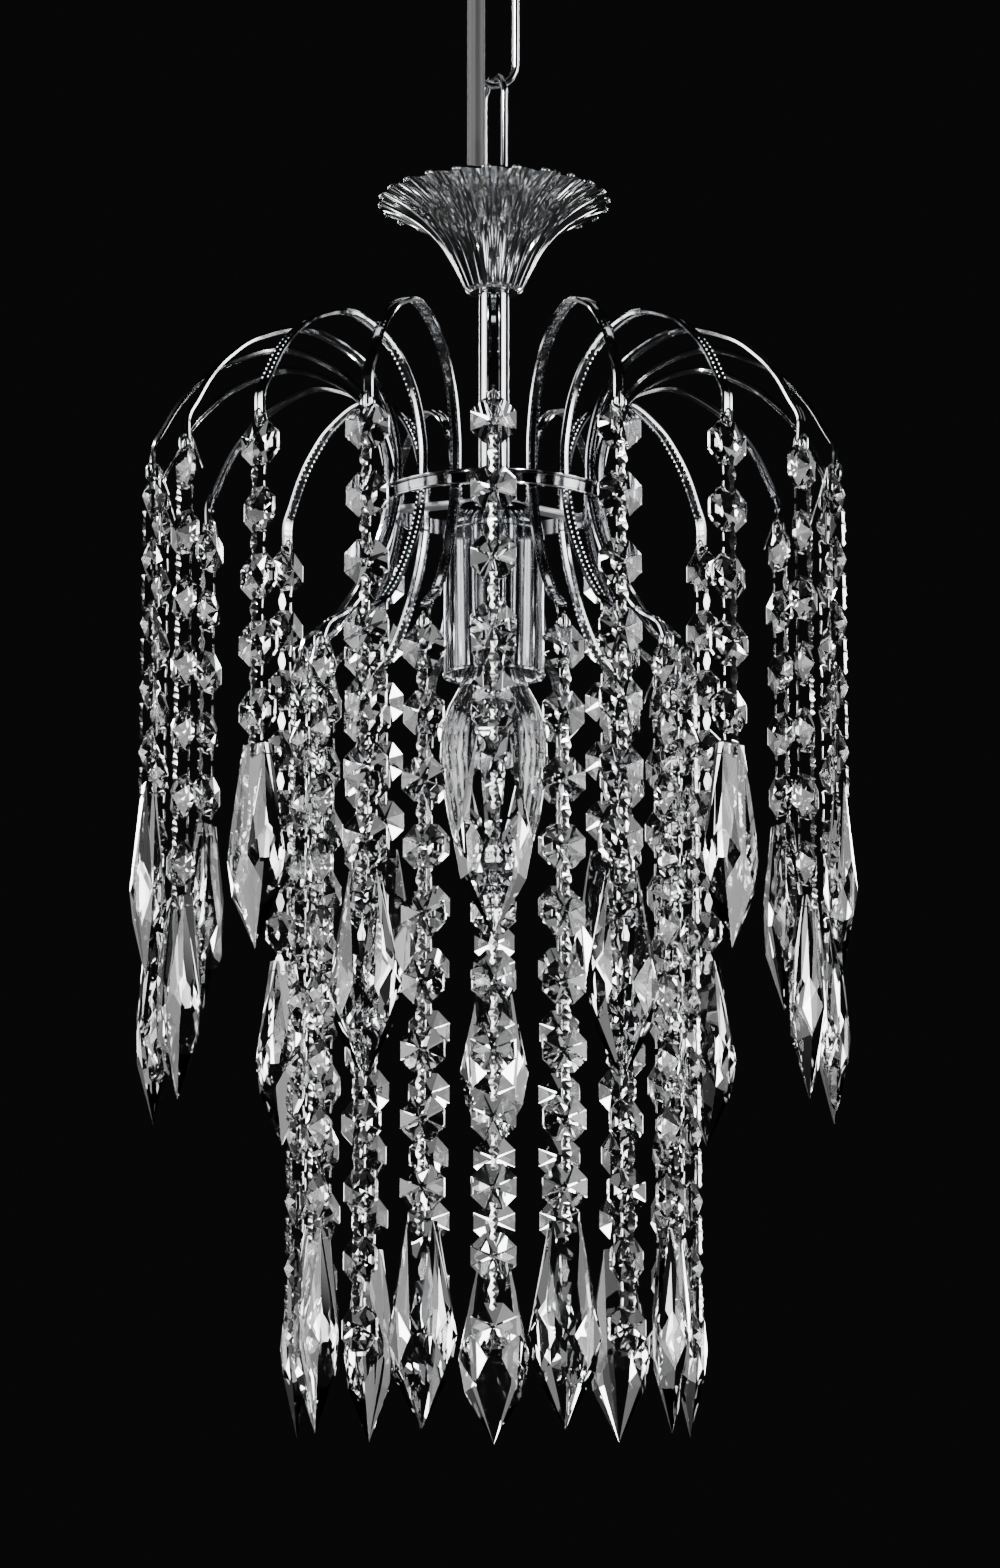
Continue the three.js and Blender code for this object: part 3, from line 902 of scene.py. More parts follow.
@dataclass
class Crown:
    """The eye, the collar, the cord grip and the fluted cup under them."""

    eye_radius: float = 5 * MM
    eye_wire: float = 1.3 * MM
    shank: float = 2.2 * MM
    eye_turn: float = math.radians(28)
    roof: float = 3 * MM
    waist: float = 3.4 * MM
    foot: float = 7.5 * MM
    neck: float = 4.4 * MM
    cup_foot: float = 9.2 * MM
    wall: float = 1 * MM
    flutes: int = 24
    flute_steps: int = 20
    flute_depth: float = 0.8 * MM
    scallop: float = 0.6 * MM
    bead: float = 0.8 * MM
    rib_step: float = 6.0
    rib_share: float = 0.93

    def build(self) -> None:
        """Make every piece."""
        self.eye()
        self.collar()
        self.grip()
        self.cup()

    def eye(self) -> None:
        """The ring that the lower link goes through, on its shank and washer."""
        low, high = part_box("suspension_eye")
        centre = high.z - self.eye_wire - self.eye_radius
        collar_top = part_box("top_collar")[1].z
        bm = bmesh.new()
        path = [
            Vector((self.eye_radius * math.cos(a), 0, centre + self.eye_radius * math.sin(a)))
            for a in (2 * math.pi * k / 44 for k in range(44))
        ]
        swept(bm, path, Vector((0, 1, 0)), round_section(self.eye_wire, 18), closed=True)
        move(bm, bm.verts, Matrix.Rotation(self.eye_turn, 4, "Z"))
        neck_top = centre - self.eye_radius
        washer = self.shank + 1.8 * MM
        turned(
            bm,
            [(0.0, low.z), (self.shank, low.z), (self.shank, collar_top + 0.1 * MM),
             (washer, collar_top + 0.1 * MM),
             (washer, collar_top + 0.9 * MM), (washer - 0.3 * MM, collar_top + 1.2 * MM),
             (self.shank, collar_top + 1.2 * MM), (self.shank, neck_top - 1.6 * MM),
             (self.shank * 0.8, neck_top), (0.0, neck_top)],
            40,
        )
        piece(bm, "eye_ring", CHROME, Body.PENDANT.value, ["suspension_eye"], 45)

    def collar(self) -> None:
        """The hollow cone with its flat roof."""
        low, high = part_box("top_collar")
        rim = (high.x - low.x) / 2
        roof = high.z - self.roof
        grip_low, grip_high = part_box("cord_grip")
        centre = (grip_low + grip_high) / 2
        flex = (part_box("flex")[1].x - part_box("flex")[0].x) / 2
        hole = self.neck + GAP
        bm = bmesh.new()
        loops = [
            circle(rim, high.z, 96), circle(self.shank + 0.15 * MM, high.z, 24),
            circle(flex + 0.15 * MM, high.z, 32, centre),
        ]
        blank(bm, loops, self.roof)
        turned(
            bm,
            [(hole, low.z), (self.foot, low.z), (rim, roof - 0.02 * MM), (rim - 1.2 * MM, roof - 0.02 * MM),
             (hole + 0.1 * MM, low.z + self.waist), (hole, low.z + self.waist)],
            96,
        )
        piece(bm, "collar_shell", CHROME, Body.PENDANT.value, ["top_collar"], 35)

    def grip(self) -> None:
        """The black cord grip, ribbed for the fingers."""
        low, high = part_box("cord_grip")
        centre = (low + high) / 2
        collar_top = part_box("top_collar")[1].z
        radius = (high.x - low.x) / 2
        body = (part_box("flex")[1].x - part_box("flex")[0].x) / 2
        seat = collar_top + GAP
        bm = bmesh.new()
        ease = 1 * MM
        profile = [
            (0.0, low.z), (body, low.z), (body, seat), (radius, seat), (radius, high.z - ease),
            *rounded((radius - ease, high.z - ease), 0, ease), (0.0, high.z),
        ]
        ribbed(turned(bm, profile, 60), radius * 0.98, self.rib_step, self.rib_share)
        move(bm, bm.verts, Matrix.Translation((centre.x, centre.y, 0)))
        piece(bm, "grip_body", BLACK, Body.PENDANT.value, ["cord_grip"], 25)

    def radius_at(self, share: float, rim: float) -> float:
        """The cup's outer radius.

        Args:
            share: the height, as a share of the cup's own.
            rim: the radius at its rim.
        """
        return self.cup_foot + (rim - self.cup_foot) * 0.5 * (share + share**4)

    def cup(self) -> None:
        """The trumpet-shaped cup, pressed in flutes, with a scalloped and beaded rim."""
        low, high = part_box("canopy_cup")
        rim = (high.y - low.y) / 2
        tall = high.z - low.z - self.wall * 0.3
        shares = [0.0, 0.04, 0.1, 0.18, 0.27, 0.36, 0.46, 0.56, 0.66, 0.75, 0.83, 0.9, 0.96, 1.0]
        hole = self.neck + GAP
        outside = [(hole, low.z), (self.cup_foot - 1.2 * MM, low.z)]
        outside += [(self.radius_at(share, rim), low.z + max(share, 0.02) * tall) for share in shares]
        bm = bmesh.new()
        steps = self.flutes * self.flute_steps
        verts = turned(bm, shell(outside, self.wall), steps)
        for vert in verts:
            flat = vert.co.xy.length
            share = min(max((vert.co.z - low.z) / tall, 0.0), 1.0)
            fade = 1.0 if flat > self.cup_foot - 1.1 * MM else 0.0
            across = (math.atan2(vert.co.y, vert.co.x) / (2 * math.pi) * self.flutes) % 1.0
            hollow = 1 - (2 * across - 1) ** 2
            fine = 0.45 * abs(2 * ((5 * across) % 1.0) - 1)
            depth = self.flute_depth * fade * (0.7 + 0.3 * share) * (hollow + fine)
            scale = (flat - depth) / max(flat, 1e-9)
            vert.co.x *= scale
            vert.co.y *= scale
            lift = max(share - 0.86, 0.0) / 0.14
            vert.co.z -= self.scallop * lift * lift * (1 - math.sin(math.pi * ((across + 0.5) % 1.0)))
        piece(bm, "cup_shell", CHROME, Body.PENDANT.value, ["canopy_cup"], 12)
        self.beads(rim, low.z + tall)

    def beads(self, rim: float, height: float) -> None:
        """The beads round the cup's rim, two on each flute.

        Args:
            rim: the rim's radius.
            height: the rim's height.
        """
        bm = bmesh.new()
        for k in range(2 * self.flutes):
            turn = math.pi * (k + (0.35 if k % 2 else -0.35)) / self.flutes
            place = Matrix.Rotation(turn, 4, "Z") @ Matrix.Translation((rim - 0.4 * MM, 0, height - 0.1 * MM))
            bmesh.ops.create_icosphere(bm, subdivisions=2, radius=self.bead, matrix=place)
        piece(bm, "cup_beads", CHROME, Body.PENDANT.value, [], 60)


@dataclass
class Stem:
    """The tube from the collar to the lampholder, and the lead inside it."""

    radius: float = 5 * MM
    neck: float = 4.4 * MM
    bore: float = 3.4 * MM
    lead: float = 1.6 * MM
    ease: float = 0.4 * MM
    waist: float = 3.4 * MM
    bend_foot: float = 1.7 * MM

    def build(self) -> None:
        """Make the tube and the lead."""
        low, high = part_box("stem_tube")
        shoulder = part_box("canopy_cup")[0].z - GAP
        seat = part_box("ring_spider")[1].z + GAP
        bm = bmesh.new()
        profile = [
            (self.bore, low.z), (self.neck, low.z), (self.neck, seat), (self.radius - self.ease, seat),
            (self.radius, seat + self.ease), (self.radius, shoulder - self.ease),
            (self.radius - self.ease, shoulder), (self.neck, shoulder), (self.neck, high.z),
            (self.bore, high.z),
        ]
        turned(bm, profile, 64)
        piece(bm, "stem_pipe", CHROME, Body.PENDANT.value, ["stem_tube"], 35)
        self.wiring()

    def wiring(self) -> None:
        """The lead, which bends from the grip to the axis and runs down the tube."""
        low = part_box("stem_lead")[0]
        grip_low, grip_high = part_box("cord_grip")
        side = (grip_low + grip_high) / 2
        collar_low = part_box("top_collar")[0].z
        roof = grip_low.z
        depth = roof - (collar_low + self.waist)
        bends = (
            (1.0, 0.6 * MM), (0.99, 0.12 * depth), (0.76, 0.36 * depth), (0.38, 0.62 * depth),
            (0.1, 0.85 * depth),
        )
        points = [Vector((share * side.x, share * side.y, roof - drop)) for share, drop in bends]
        top = collar_low + self.bend_foot
        points += [Vector((0, 0, top + (low.z - top) * share)) for share in (0, 0.5, 1)]
        bm = bmesh.new()
        swept(bm, smooth_line(points, 70), Vector((1, 0.3, 0)), round_section(self.lead, 14))
        piece(bm, "lead_wire", BLACK, Body.PENDANT.value, ["stem_lead"], 50)


# ---- ring, arms and spider ------------------------------------------------------------------


@dataclass
class Spray:
    """The flat ring, the eighteen curled arms on it and the spider that holds it."""

    count: int = 18
    width: float = 3.8 * MM
    thick: float = 1.5 * MM
    pitch: float = 1.9 * MM
    knurl: float = 0.6 * MM
    plain_end: float = 11 * MM
    eyelet: float = 1.9 * MM
    eyelet_wire: float = 0.55 * MM
    ring_height: float = 5 * MM
    ring_radius: float = 38.2 * MM
    ring_wall: float = 1.5 * MM
    peak_radius: float = 70 * MM
    peak: float = 46.8 * MM
    tip_radius: float = 113 * MM
    foot_radius: float = 64.1 * MM
    tip: float = 11.6 * MM
    foot: float = -50.1 * MM
    tail: float = 7.5 * MM
    hub: float = 7.5 * MM
    neck: float = 4.7 * MM

    def build(self) -> None:
        """Make the arms, the ring and the spider."""
        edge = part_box("ring_spider")[1].z - 3.7 * MM
        shape = self.arm(edge)
        for k in range(self.count):
            bm = bmesh.new()
            pasted(bm, shape, Matrix.Rotation(2 * math.pi * k / self.count, 4, "Z"))
            # The arms take the darkened chrome, painted shade.
            piece(bm, f"arm_{k:02d}", KNURLED_PAINTED_SHADE, Body.PENDANT.value, ["arm_spray"], 30)
        bpy.data.meshes.remove(shape)
        self.ring(edge)
        self.spider()

    def line(self, edge: float) -> list[Vector]:
        """One arm's middle line, in the plane that faces front, from its tip to its foot.

        Args:
            edge: the height of the ring's upper edge.

        Returns:
            The line's points.
        """
        root = self.ring_radius - self.ring_wall - 0.5 * MM
        tip, peak = (self.tip_radius, self.tip), (self.peak_radius, self.peak)
        foot = (self.foot_radius, self.foot)
        seat, heel = (root, 0.0), (root, -self.ring_height)
        stretches = (
            (tip, peak, ((0, 0), (0.074, 0.173), (0.19, 0.422), (0.348, 0.642), (0.587, 0.853))),
            (peak, seat, ((0, 0), (0.552, 0.147), (0.851, 0.409), (0.987, 0.737), (1, 1))),
            (heel, foot, ((0, 0), (0.118, 0.295), (0.337, 0.599), (0.631, 0.861), (0.91, 0.983))),
        )
        bent = []
        for (r0, z0), (r1, z1), bends in stretches:
            bent += [Vector((0, -(r0 + (r1 - r0) * a), edge + z0 + (z1 - z0) * u)) for a, u in bends]
        ends = (
            Vector((0, -tip[0], edge + tip[1] - self.tail)),
            Vector((0, -foot[0], edge + foot[1] - self.tail * 0.65)),
        )
        return evenly(smooth_line([ends[0], *bent, ends[1]], 170), self.pitch)

    def section(self, bm: bmesh.types.BMesh) -> list:
        """The strip's section: two raised edges with a channel between, on both faces.

        Args:
            bm: where the vertices are added.

        Returns:
            The vertices in order.
        """
        w, t = self.width / 2, self.thick / 2
        right = [(w, 0.0), (w - 0.3 * MM, t), (w - 1.05 * MM, t), (w - 1.25 * MM, 0.5 * t)]
        upper = right + [(-x, y) for x, y in right[::-1]]
        lower = [(x, -y) for x, y in upper[::-1] if y > 0]
        return [bm.verts.new((x, y, 0.0)) for x, y in upper + lower]

    def arm(self, edge: float) -> bpy.types.Mesh:
        """One arm, with its knurled edges and the eyelets at its two ends.

        Args:
            edge: the height of the ring's upper edge.

        Returns:
            The mesh that every arm is a copy of.
        """
        line = self.line(edge)
        bm = bmesh.new()
        swept(bm, line, Vector((1, 0, 0)), self.section)
        near, far = self.width / 2 - 1.1 * MM, self.width / 2 - 0.25 * MM
        raised = []
        for face in bm.faces:
            middle = face.calc_center_median()
            if min((middle - line[0]).length, (middle - line[-1]).length) < self.plain_end:
                continue
            on_edge = near < abs(middle.x) < far and all(abs(vert.co.x) > near for vert in face.verts)
            if len(face.verts) == 4 and on_edge:
                raised.append(face)
        bmesh.ops.poke(bm, faces=raised, offset=self.knurl, center_mode="MEAN")
        for radius, height in ((self.tip_radius, line[0].z), (self.foot_radius, line[-1].z)):
            centre = Vector((0, -radius, height - self.eyelet + self.eyelet_wire))
            hoop = [
                centre + self.eyelet * Vector((math.cos(a), 0, math.sin(a)))
                for a in (2 * math.pi * k / 18 for k in range(18))
            ]
            swept(bm, hoop, Vector((0, 1, 0)), round_section(self.eyelet_wire, 8), closed=True)
        return template(bm, "arm_shape")

    def ring(self, edge: float) -> None:
        """The polished band that the arms are brazed into; its face is tinted dark as painted shade.

        Args:
            edge: the height of its upper edge.
        """
        outer, inner, ease = self.ring_radius, self.ring_radius - self.ring_wall, 0.4 * MM
        low, high, top = edge - self.ring_height, edge, 0.9 * MM
        bm = bmesh.new()
        profile = [
            (inner, low), (outer - 2 * ease, low), (outer - 1.2 * ease, low + ease),
            (outer - 2 * ease, low + 2 * ease), (outer - ease, high - 1.5 * top), (outer, high - 1.1 * top),
            *rounded((outer - top, high - top), 0, top), (inner, high),
        ]
        turned(bm, profile, 180)
        # The band's face takes the darkened chrome, painted shade; the lips below stay bright chrome.
        piece(bm, "ring_band", SHADED_BAND, Body.PENDANT.value, ["arm_spray"], 40)
        bm = bmesh.new()
        lip = 0.32 * MM
        for height in (high - lip, low + lip):
            bulge = [
                (outer + lip * math.cos(a), height + lip * math.sin(a)) for a in (-1.5, -0.75, 0, 0.75, 1.5)
            ]
            turned(bm, bulge + [(outer - lip, height + lip), (outer - lip, height - lip)], 180)
        piece(bm, "ring_lips", CHROME, Body.PENDANT.value, ["arm_spray"], 30)

    def spider(self) -> None:
        """The hub on the stem and its three spokes."""
        low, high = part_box("ring_spider")
        thick = 2 * MM
        reach = self.ring_radius - self.ring_wall - GAP
        bm = bmesh.new()
        ease = 0.5 * MM
        turned(
            bm,
            [(self.neck, low.z), (self.hub - ease, low.z), (self.hub, low.z + ease),
             (self.hub, high.z - ease), (self.hub - ease, high.z), (self.neck, high.z)],
            64,
        )
        for turn in (10, 130, 250):
            start = len(bm.verts)
            made = bmesh.ops.create_cube(bm, size=1.0)["verts"]
            bmesh.ops.scale(bm, verts=made, vec=(5 * MM, reach - self.hub + 1 * MM, thick))
            middle = (reach + self.hub - 1 * MM) / 2
            bmesh.ops.translate(bm, verts=made, vec=(0, -middle, low.z + thick / 2))
            sides = [
                edge for edge in {edge for vert in made for edge in vert.link_edges}
                if abs(edge.verts[0].co.y - edge.verts[1].co.y) > 1 * MM
            ]
            bmesh.ops.bevel(
                bm, geom=sides, offset=0.5 * MM, segments=2, profile=0.5, affect="EDGES", material=-1
            )
            bm.verts.ensure_lookup_table()
            move(bm, bm.verts[start:], Matrix.Rotation(math.radians(turn), 4, "Z"))
        piece(bm, "spider_hub", ZINC, Body.PENDANT.value, ["ring_spider"], 35)


# ---- lamp cup, lampholder and lamp ----------------------------------------------------------


@dataclass
class LampUnit:
    """The cup over the lampholder, its nut, the lampholder and the lamp."""

    wall: float = 0.9 * MM
    step: float = 0.35 * MM
    neck: float = 4.7 * MM
    holder_bore: float = 7.3 * MM
    thread_pitch: float = 2.8 * MM
    thread_depth: float = 0.55 * MM
    glass_wall: float = 0.6 * MM
    filament: float = 0.22 * MM
    cup_flat: float = 8.5 * MM
    cup_dome: float = 10.2 * MM
    cup_lip: float = 0.55 * MM
    nut_reach: float = 8 * MM
    rib_step: float = 3.75
    rib_share: float = 0.975

    def build(self) -> None:
        """Make every piece."""
        self.cup()
        self.nut()
        self.holder()
        self.cap()
        self.glass()
        self.mount()

    def cup(self) -> None:
        """The straight cup with a domed top, a step where the two meet and a rolled lip."""
        low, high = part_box("lamp_cup")
        radius = (high.y - low.y) / 2
        flat, lip = self.cup_flat, self.cup_lip
        shoulder = high.z - self.cup_dome
        dome = [
            (flat + (radius - self.step - flat) * math.cos(a), shoulder + (high.z - shoulder) * math.sin(a))
            for a in (math.radians(7.5 * k) for k in range(13))
        ]
        outside = [
            (radius, low.z), (radius + lip * 0.4, low.z + lip), (radius, low.z + 2 * lip),
            (radius, shoulder - 0.5 * MM), (radius - self.step * 0.4, shoulder - 0.1 * MM), *dome,
            (self.neck, high.z),
        ]
        bm = bmesh.new()
        turned(bm, shell(outside, self.wall), 128)
        piece(bm, "lamp_cup_shell", CHROME, Body.PENDANT.value, ["lamp_cup"], 35)

    def nut(self) -> None:
        """The hexagonal nut that clamps the cup."""
        low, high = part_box("stem_locknut")
        bm = bmesh.new()
        hexagonal(bm, self.nut_reach, self.neck, low.z, high.z)
        piece(bm, "clamp_nut", ZINC, Body.PENDANT.value, ["stem_locknut"], 25)

    def holder(self) -> None:
        """The black lampholder, with its rim ribbed and its bore threaded inside."""
        low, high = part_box("lampholder")
        radius = (high.y - low.y) / 2
        roof = low.z + 27 * MM
        bore = self.holder_bore
        ease = 0.6 * MM
        threads = []
        turns = 7
        for k in range(turns * 4 + 1):
            height = low.z + 3 * MM + k * 0.7 * MM
            threads.append((bore + 0.5 * self.thread_depth * (1 - math.cos(math.pi * k / 2)), height))
        profile = [
            (bore, low.z), (radius - ease, low.z), (radius, low.z + ease), (radius, low.z + 6 * MM),
            (radius - 0.8 * MM, low.z + 7 * MM), (radius - 0.8 * MM, high.z - ease),
            (radius - 1.4 * MM, high.z),
            (self.neck, high.z), (self.neck, high.z - 3 * MM), (1.9 * MM, high.z - 3 * MM), (1.9 * MM, roof),
            (bore, roof), *threads[::-1],
        ]
        bm = bmesh.new()
        ribbed(turned(bm, profile, 96), radius * 0.985, self.rib_step, self.rib_share)
        piece(bm, "holder_shell", BLACK, Body.PENDANT.value, ["lampholder"], 25)

    def cap(self) -> None:
        """The lamp's screw cap, with its rolled thread and its contact."""
        low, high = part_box("lamp_cap")
        radius = (high.y - low.y) / 2
        contact = high.z - 2 * MM
        shoulder = contact - 3 * MM
        start = low.z + 3.4 * MM
        turns = int((shoulder - start) / self.thread_pitch)
        rolled = [
            (
                radius - 0.5 * self.thread_depth * (1 - math.cos(math.pi * k / 3)),
                start + k * self.thread_pitch / 6,
            )
            for k in range(turns * 6 + 1)
        ]
        profile = [
            (0.0, low.z), (radius - 0.3 * MM, low.z), (radius, low.z + 0.3 * MM), *rolled,
            (radius - 0.4 * MM, shoulder), (radius - 3 * MM, contact), (2.2 * MM, contact),
            (2.2 * MM, high.z - 0.4 * MM), (1.4 * MM, high.z), (0.0, high.z),
        ]
        bm = bmesh.new()
        turned(bm, profile, 64)
        piece(bm, "cap_shell", CAP, Body.LAMP.value, ["lamp_cap"], 40)

    def glass(self) -> None:
        """The thin clear envelope."""
        low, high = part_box("lamp_glass")
        radius = (high.y - low.y) / 2
        tall = high.z - low.z
        shares = (
            (0.0, 0.0), (0.22, 0.02), (0.5, 0.09), (0.78, 0.24), (0.95, 0.45), (1.0, 0.61),
            (0.89, 0.76), (0.66, 0.87), (0.47, 0.96), (0.38, 1.0),
        )
        line = smooth_line([Vector((r * radius, 0, low.z + z * tall)) for r, z in shares], 54)
        outside = [(0.0, low.z)] + [(max(point.x, 0.0), point.z) for point in line[1:]]
        bm = bmesh.new()
        turned(bm, shell(outside, self.glass_wall), 72)
        piece(bm, "glass_envelope", ENVELOPE, Body.LAMP.value, ["lamp_glass"], 60)

    def mount(self) -> None:
        """The glass post inside the lamp, with its lead wires and coiled filament."""
        low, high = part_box("lamp_glass")
        top = high.z - 0.2 * MM
        post = 3 * MM
        level = low.z + 0.5 * (high.z - low.z)
        bm = bmesh.new()
        profile = [
            (0.0, level + 9 * MM), (1.6 * MM, level + 10 * MM), (1.5 * MM, level + 18 * MM),
            (post, top - 6 * MM), (post + 1.4 * MM, top), (0.0, top),
        ]
        turned(bm, profile, 32)
        piece(bm, "mount_post", ENVELOPE, Body.LAMP.value, [], 60)
        bm = bmesh.new()
        half = 8 * MM
        for side in (-1, 1):
            points = [
                Vector((side * 1.0 * MM, 0, level + 12 * MM)), Vector((side * 3 * MM, 0, level + 6 * MM)),
                Vector((side * half, 0, level + 0.5 * MM)), Vector((side * half, 0, level - 0.6 * MM)),
            ]
            swept(bm, smooth_line(points, 18), Vector((0, 1, 0)), round_section(self.filament, 6))
        coil = [
            Vector((
                -half + 2 * half * k / 240,
                0.5 * MM * math.cos(k * 1.05),
                level + 0.5 * MM * math.sin(k * 1.05),
            ))
            for k in range(241)
        ]
        swept(bm, coil, Vector((0, 0.3, 1)), round_section(0.12 * MM, 5))
        piece(bm, "filament_wires", FILAMENT, Body.LAMP.value, [], 60)


# ---- crystal strands ------------------------------------------------------------------------


@dataclass
class Strands:
    """The hanging strings of crystal octagons and icicles, linked by metal pins."""

    width: float = 14 * MM
    girdle: float = 0.6 * MM
    depth: float = 3.5 * MM
    hole: float = 5.3 * MM
    pitch: float = 21.3 * MM
    drop: float = 10.9 * MM
    icicle_gap: float = 3.4 * MM
    icicle_hole: float = 3.5 * MM
    strip: float = 1.65 * MM
    ridge: float = 0.6
    strip_away: float = 2.35 * MM
    leg: float = 0.3 * MM
    sway: float = math.radians(9)
    loop_depth: float = 5.2 * MM
    loop_wire: float = 0.4 * MM
    tail: float = 10 * MM

    def build(self) -> None:
        """Make all thirty-six strands."""
        octagon, icicle = self.octagon(), self.icicle()
        short, long = self.pin(self.pitch - 2 * self.hole), self.pin(self.joint_span())
        loop = self.loop()
        dice = random.Random(41)
        for tier, even, odd, even_icicle in (("upper", 5, 7, True), ("lower", 11, 9, False)):
            for k in range(18):
                is_odd = min(k, 18 - k) % 2 == 1
                self.strand(
                    f"{tier}_strand_{k:02d}", k, odd if is_odd else even, is_odd or even_icicle,
                    (octagon, icicle, short, long, loop), dice,
                )
        for shape in (octagon, icicle, short, long, loop):
            bpy.data.meshes.remove(shape)

    def joint_span(self) -> float:
        """Give the pin's length from the last octagon's hole to the icicle's."""
        return self.width / 2 - self.hole + self.icicle_gap + self.icicle_hole

    def hull(self, name: str, points: Iterable[tuple[float, float, float]]) -> bpy.types.Mesh:
        """Cut a crystal as the hull of its corners.

        Args:
            name: the mesh's name.
            points: its corners.

        Returns:
            The mesh.
        """
        bm = bmesh.new()
        verts = [bm.verts.new(point) for point in points]
        bmesh.ops.convex_hull(bm, input=verts)
        bmesh.ops.dissolve_limit(bm, angle_limit=math.radians(0.5), verts=bm.verts, edges=bm.edges)
        return template(bm, name)

    def octagon(self) -> bpy.types.Mesh:
        """An octagon about its own centre, facing the front and the back."""
        corner = self.width / 2 / math.cos(math.pi / 8)
        points = [(0.0, side * self.depth, 0.0) for side in (-1, 1)]
        for k in range(8):
            angle = math.pi / 8 + k * math.pi / 4
            across, up = math.cos(angle), math.sin(angle)
            points += [(corner * across, side * self.girdle, corner * up) for side in (-1, 1)]
        return self.hull("octagon_shape", points)

    def icicle(self) -> bpy.types.Mesh:
        """An icicle, hanging from its top at the origin."""
        corners = (
            (4.5, 1.6, 0.0), (7.4, 3.4, -26.0), (1.2, 5.5, -35.0), (12.0, 0.0, -35.0),
            (6.0, 3.6, -44.0), (9.9, 0.0, -46.4), (0.0, 0.0, -63.5),
        )
        points = {
            (sx * x * MM, sy * y * MM, z * MM) for x, y, z in corners for sx in (-1, 1) for sy in (-1, 1)
        }
        return self.hull("icicle_shape", sorted(points))

    def pin(self, span: float) -> bpy.types.Mesh:
        """A pin between two holes, from the upper hole at the origin down.

        Its outer side is a lobed strip with a ridge, and on its inner side its two wire ends
        are bent over towards each other.

        Args:
            span: how far apart the holes are.

        Returns:
            The mesh.
        """
        bm = bmesh.new()
        over = 1.0 * MM
        rows = 12
        ridge = []
        for k in range(rows + 1):
            share = k / rows
            wide = self.strip * (0.42 + 0.58 * math.cos(2 * math.pi * share) ** 2)
            ends = math.sqrt(max(1 - (2 * share - 1) ** 8, 0.04))
            ridge.append((wide * ends, over - share * (span + 2 * over)))
        near = -self.strip_away
        sections = []
        for k, (x, z) in enumerate(ridge):
            lean, lift = (0.4, 1.0) if k % 2 else (-0.4, 0.6)
            crest = (lean * x, near - 0.25 * MM - lift * self.ridge * x, z)
            sections.append([bm.verts.new((-x, near, z)), bm.verts.new(crest), bm.verts.new((x, near, z))])
        for (a, b, c), (d, e, f) in zip(sections, sections[1:]):
            for corners in ((a, b, e), (a, e, d), (b, c, f), (b, f, e), (c, a, d, f)):
                bm.faces.new(corners)
        bm.faces.new(sections[0])
        bm.faces.new(sections[-1][::-1])
        for height, way in ((0.0, -1), (-span, 1)):
            bent = [
                Vector((0, near - 0.1 * MM, height)), Vector((0, self.strip_away - 0.4 * MM, height)),
                Vector((0, self.strip_away, height + way * 0.5 * MM)),
                Vector((0, self.strip_away - 0.2 * MM, height + way * 0.4 * span)),
            ]
            swept(bm, bent, Vector((1, 0, 0)), round_section(self.leg, 6))
        return template(bm, f"pin_shape_{round(span / MM)}")

    def loop(self) -> bpy.types.Mesh:
        """The wire loop at a strand's top, with the straight tail of its pin."""
        bm = bmesh.new()
        top, foot = -0.4 * MM + self.loop_wire, -(self.drop - self.hole) - 0.2 * MM
        tall = top - foot
        path = []
        for k in range(24):
            angle = 2 * math.pi * k / 24
            x, z = math.cos(angle), math.sin(angle)
            path.append(Vector((
                0, (self.loop_depth / 2 - self.loop_wire) * math.copysign(abs(x) ** 0.7, x),
                (top + foot) / 2 + tall / 2 * math.copysign(abs(z) ** 0.7, z),
            )))
        swept(bm, path, Vector((1, 0, 0)), round_section(self.loop_wire, 8), closed=True)
        start = Vector((0, self.loop_depth / 2 - self.loop_wire, top - 1.2 * MM))
        tail = [start + self.tail * share * Vector((0.16, 0.3, -0.94)) for share in (0, 0.35, 0.7, 1)]
        swept(bm, tail, Vector((1, 0, 0)), round_section(0.25 * MM, 6))
        return template(bm, "loop_shape")

    def strand(
        self, name: str, place: int, count: int, has_icicle: bool, shapes: tuple, dice: random.Random
    ) -> None:
        """One strand: its crystals and its pins, as two pieces.

        Args:
            name: the strand's node, which is its body too.
            place: its place round the lamp.
            count: how many octagons it has.
            has_icicle: whether an icicle hangs from the last one.
            shapes: the octagon, the icicle, the short pin, the long pin and the loop.
            dice: turns each crystal a little.
        """
        octagon, icicle, short, long, loop = shapes
        turn = Matrix.Rotation(math.radians(20 * place), 4, "Z")
        facing = Matrix.Translation(place_of(f"{name}_swing")) @ turn
        glass, metal = bmesh.new(), bmesh.new()
        pasted(metal, loop, facing)
        turns = [dice.uniform(-self.sway, self.sway) for _ in range(count + 1)]
        for k in range(count):
            down = -self.drop - k * self.pitch
            here = facing @ Matrix.Translation((0, 0, down))
            pasted(glass, octagon, here @ Matrix.Rotation(turns[k], 4, "Z"))
            last = k == count - 1
            if last and not has_icicle:
                break
            between = Matrix.Rotation((turns[k] + turns[k + 1]) / 2, 4, "Z")
            pin = facing @ Matrix.Translation((0, 0, down - self.hole)) @ between
            pasted(metal, long if last else short, pin)
            if last:
                top = facing @ Matrix.Translation((0, 0, down - self.width / 2 - self.icicle_gap))
                pasted(glass, icicle, top @ Matrix.Rotation(turns[k + 1], 4, "Z"))
        piece(glass, f"{name}_crystals", CRYSTAL, name, [name], 0)
        piece(metal, f"{name}_pins", PIN, name, [name], 40)


# ---- floor, light and camera ----------------------------------------------------------------


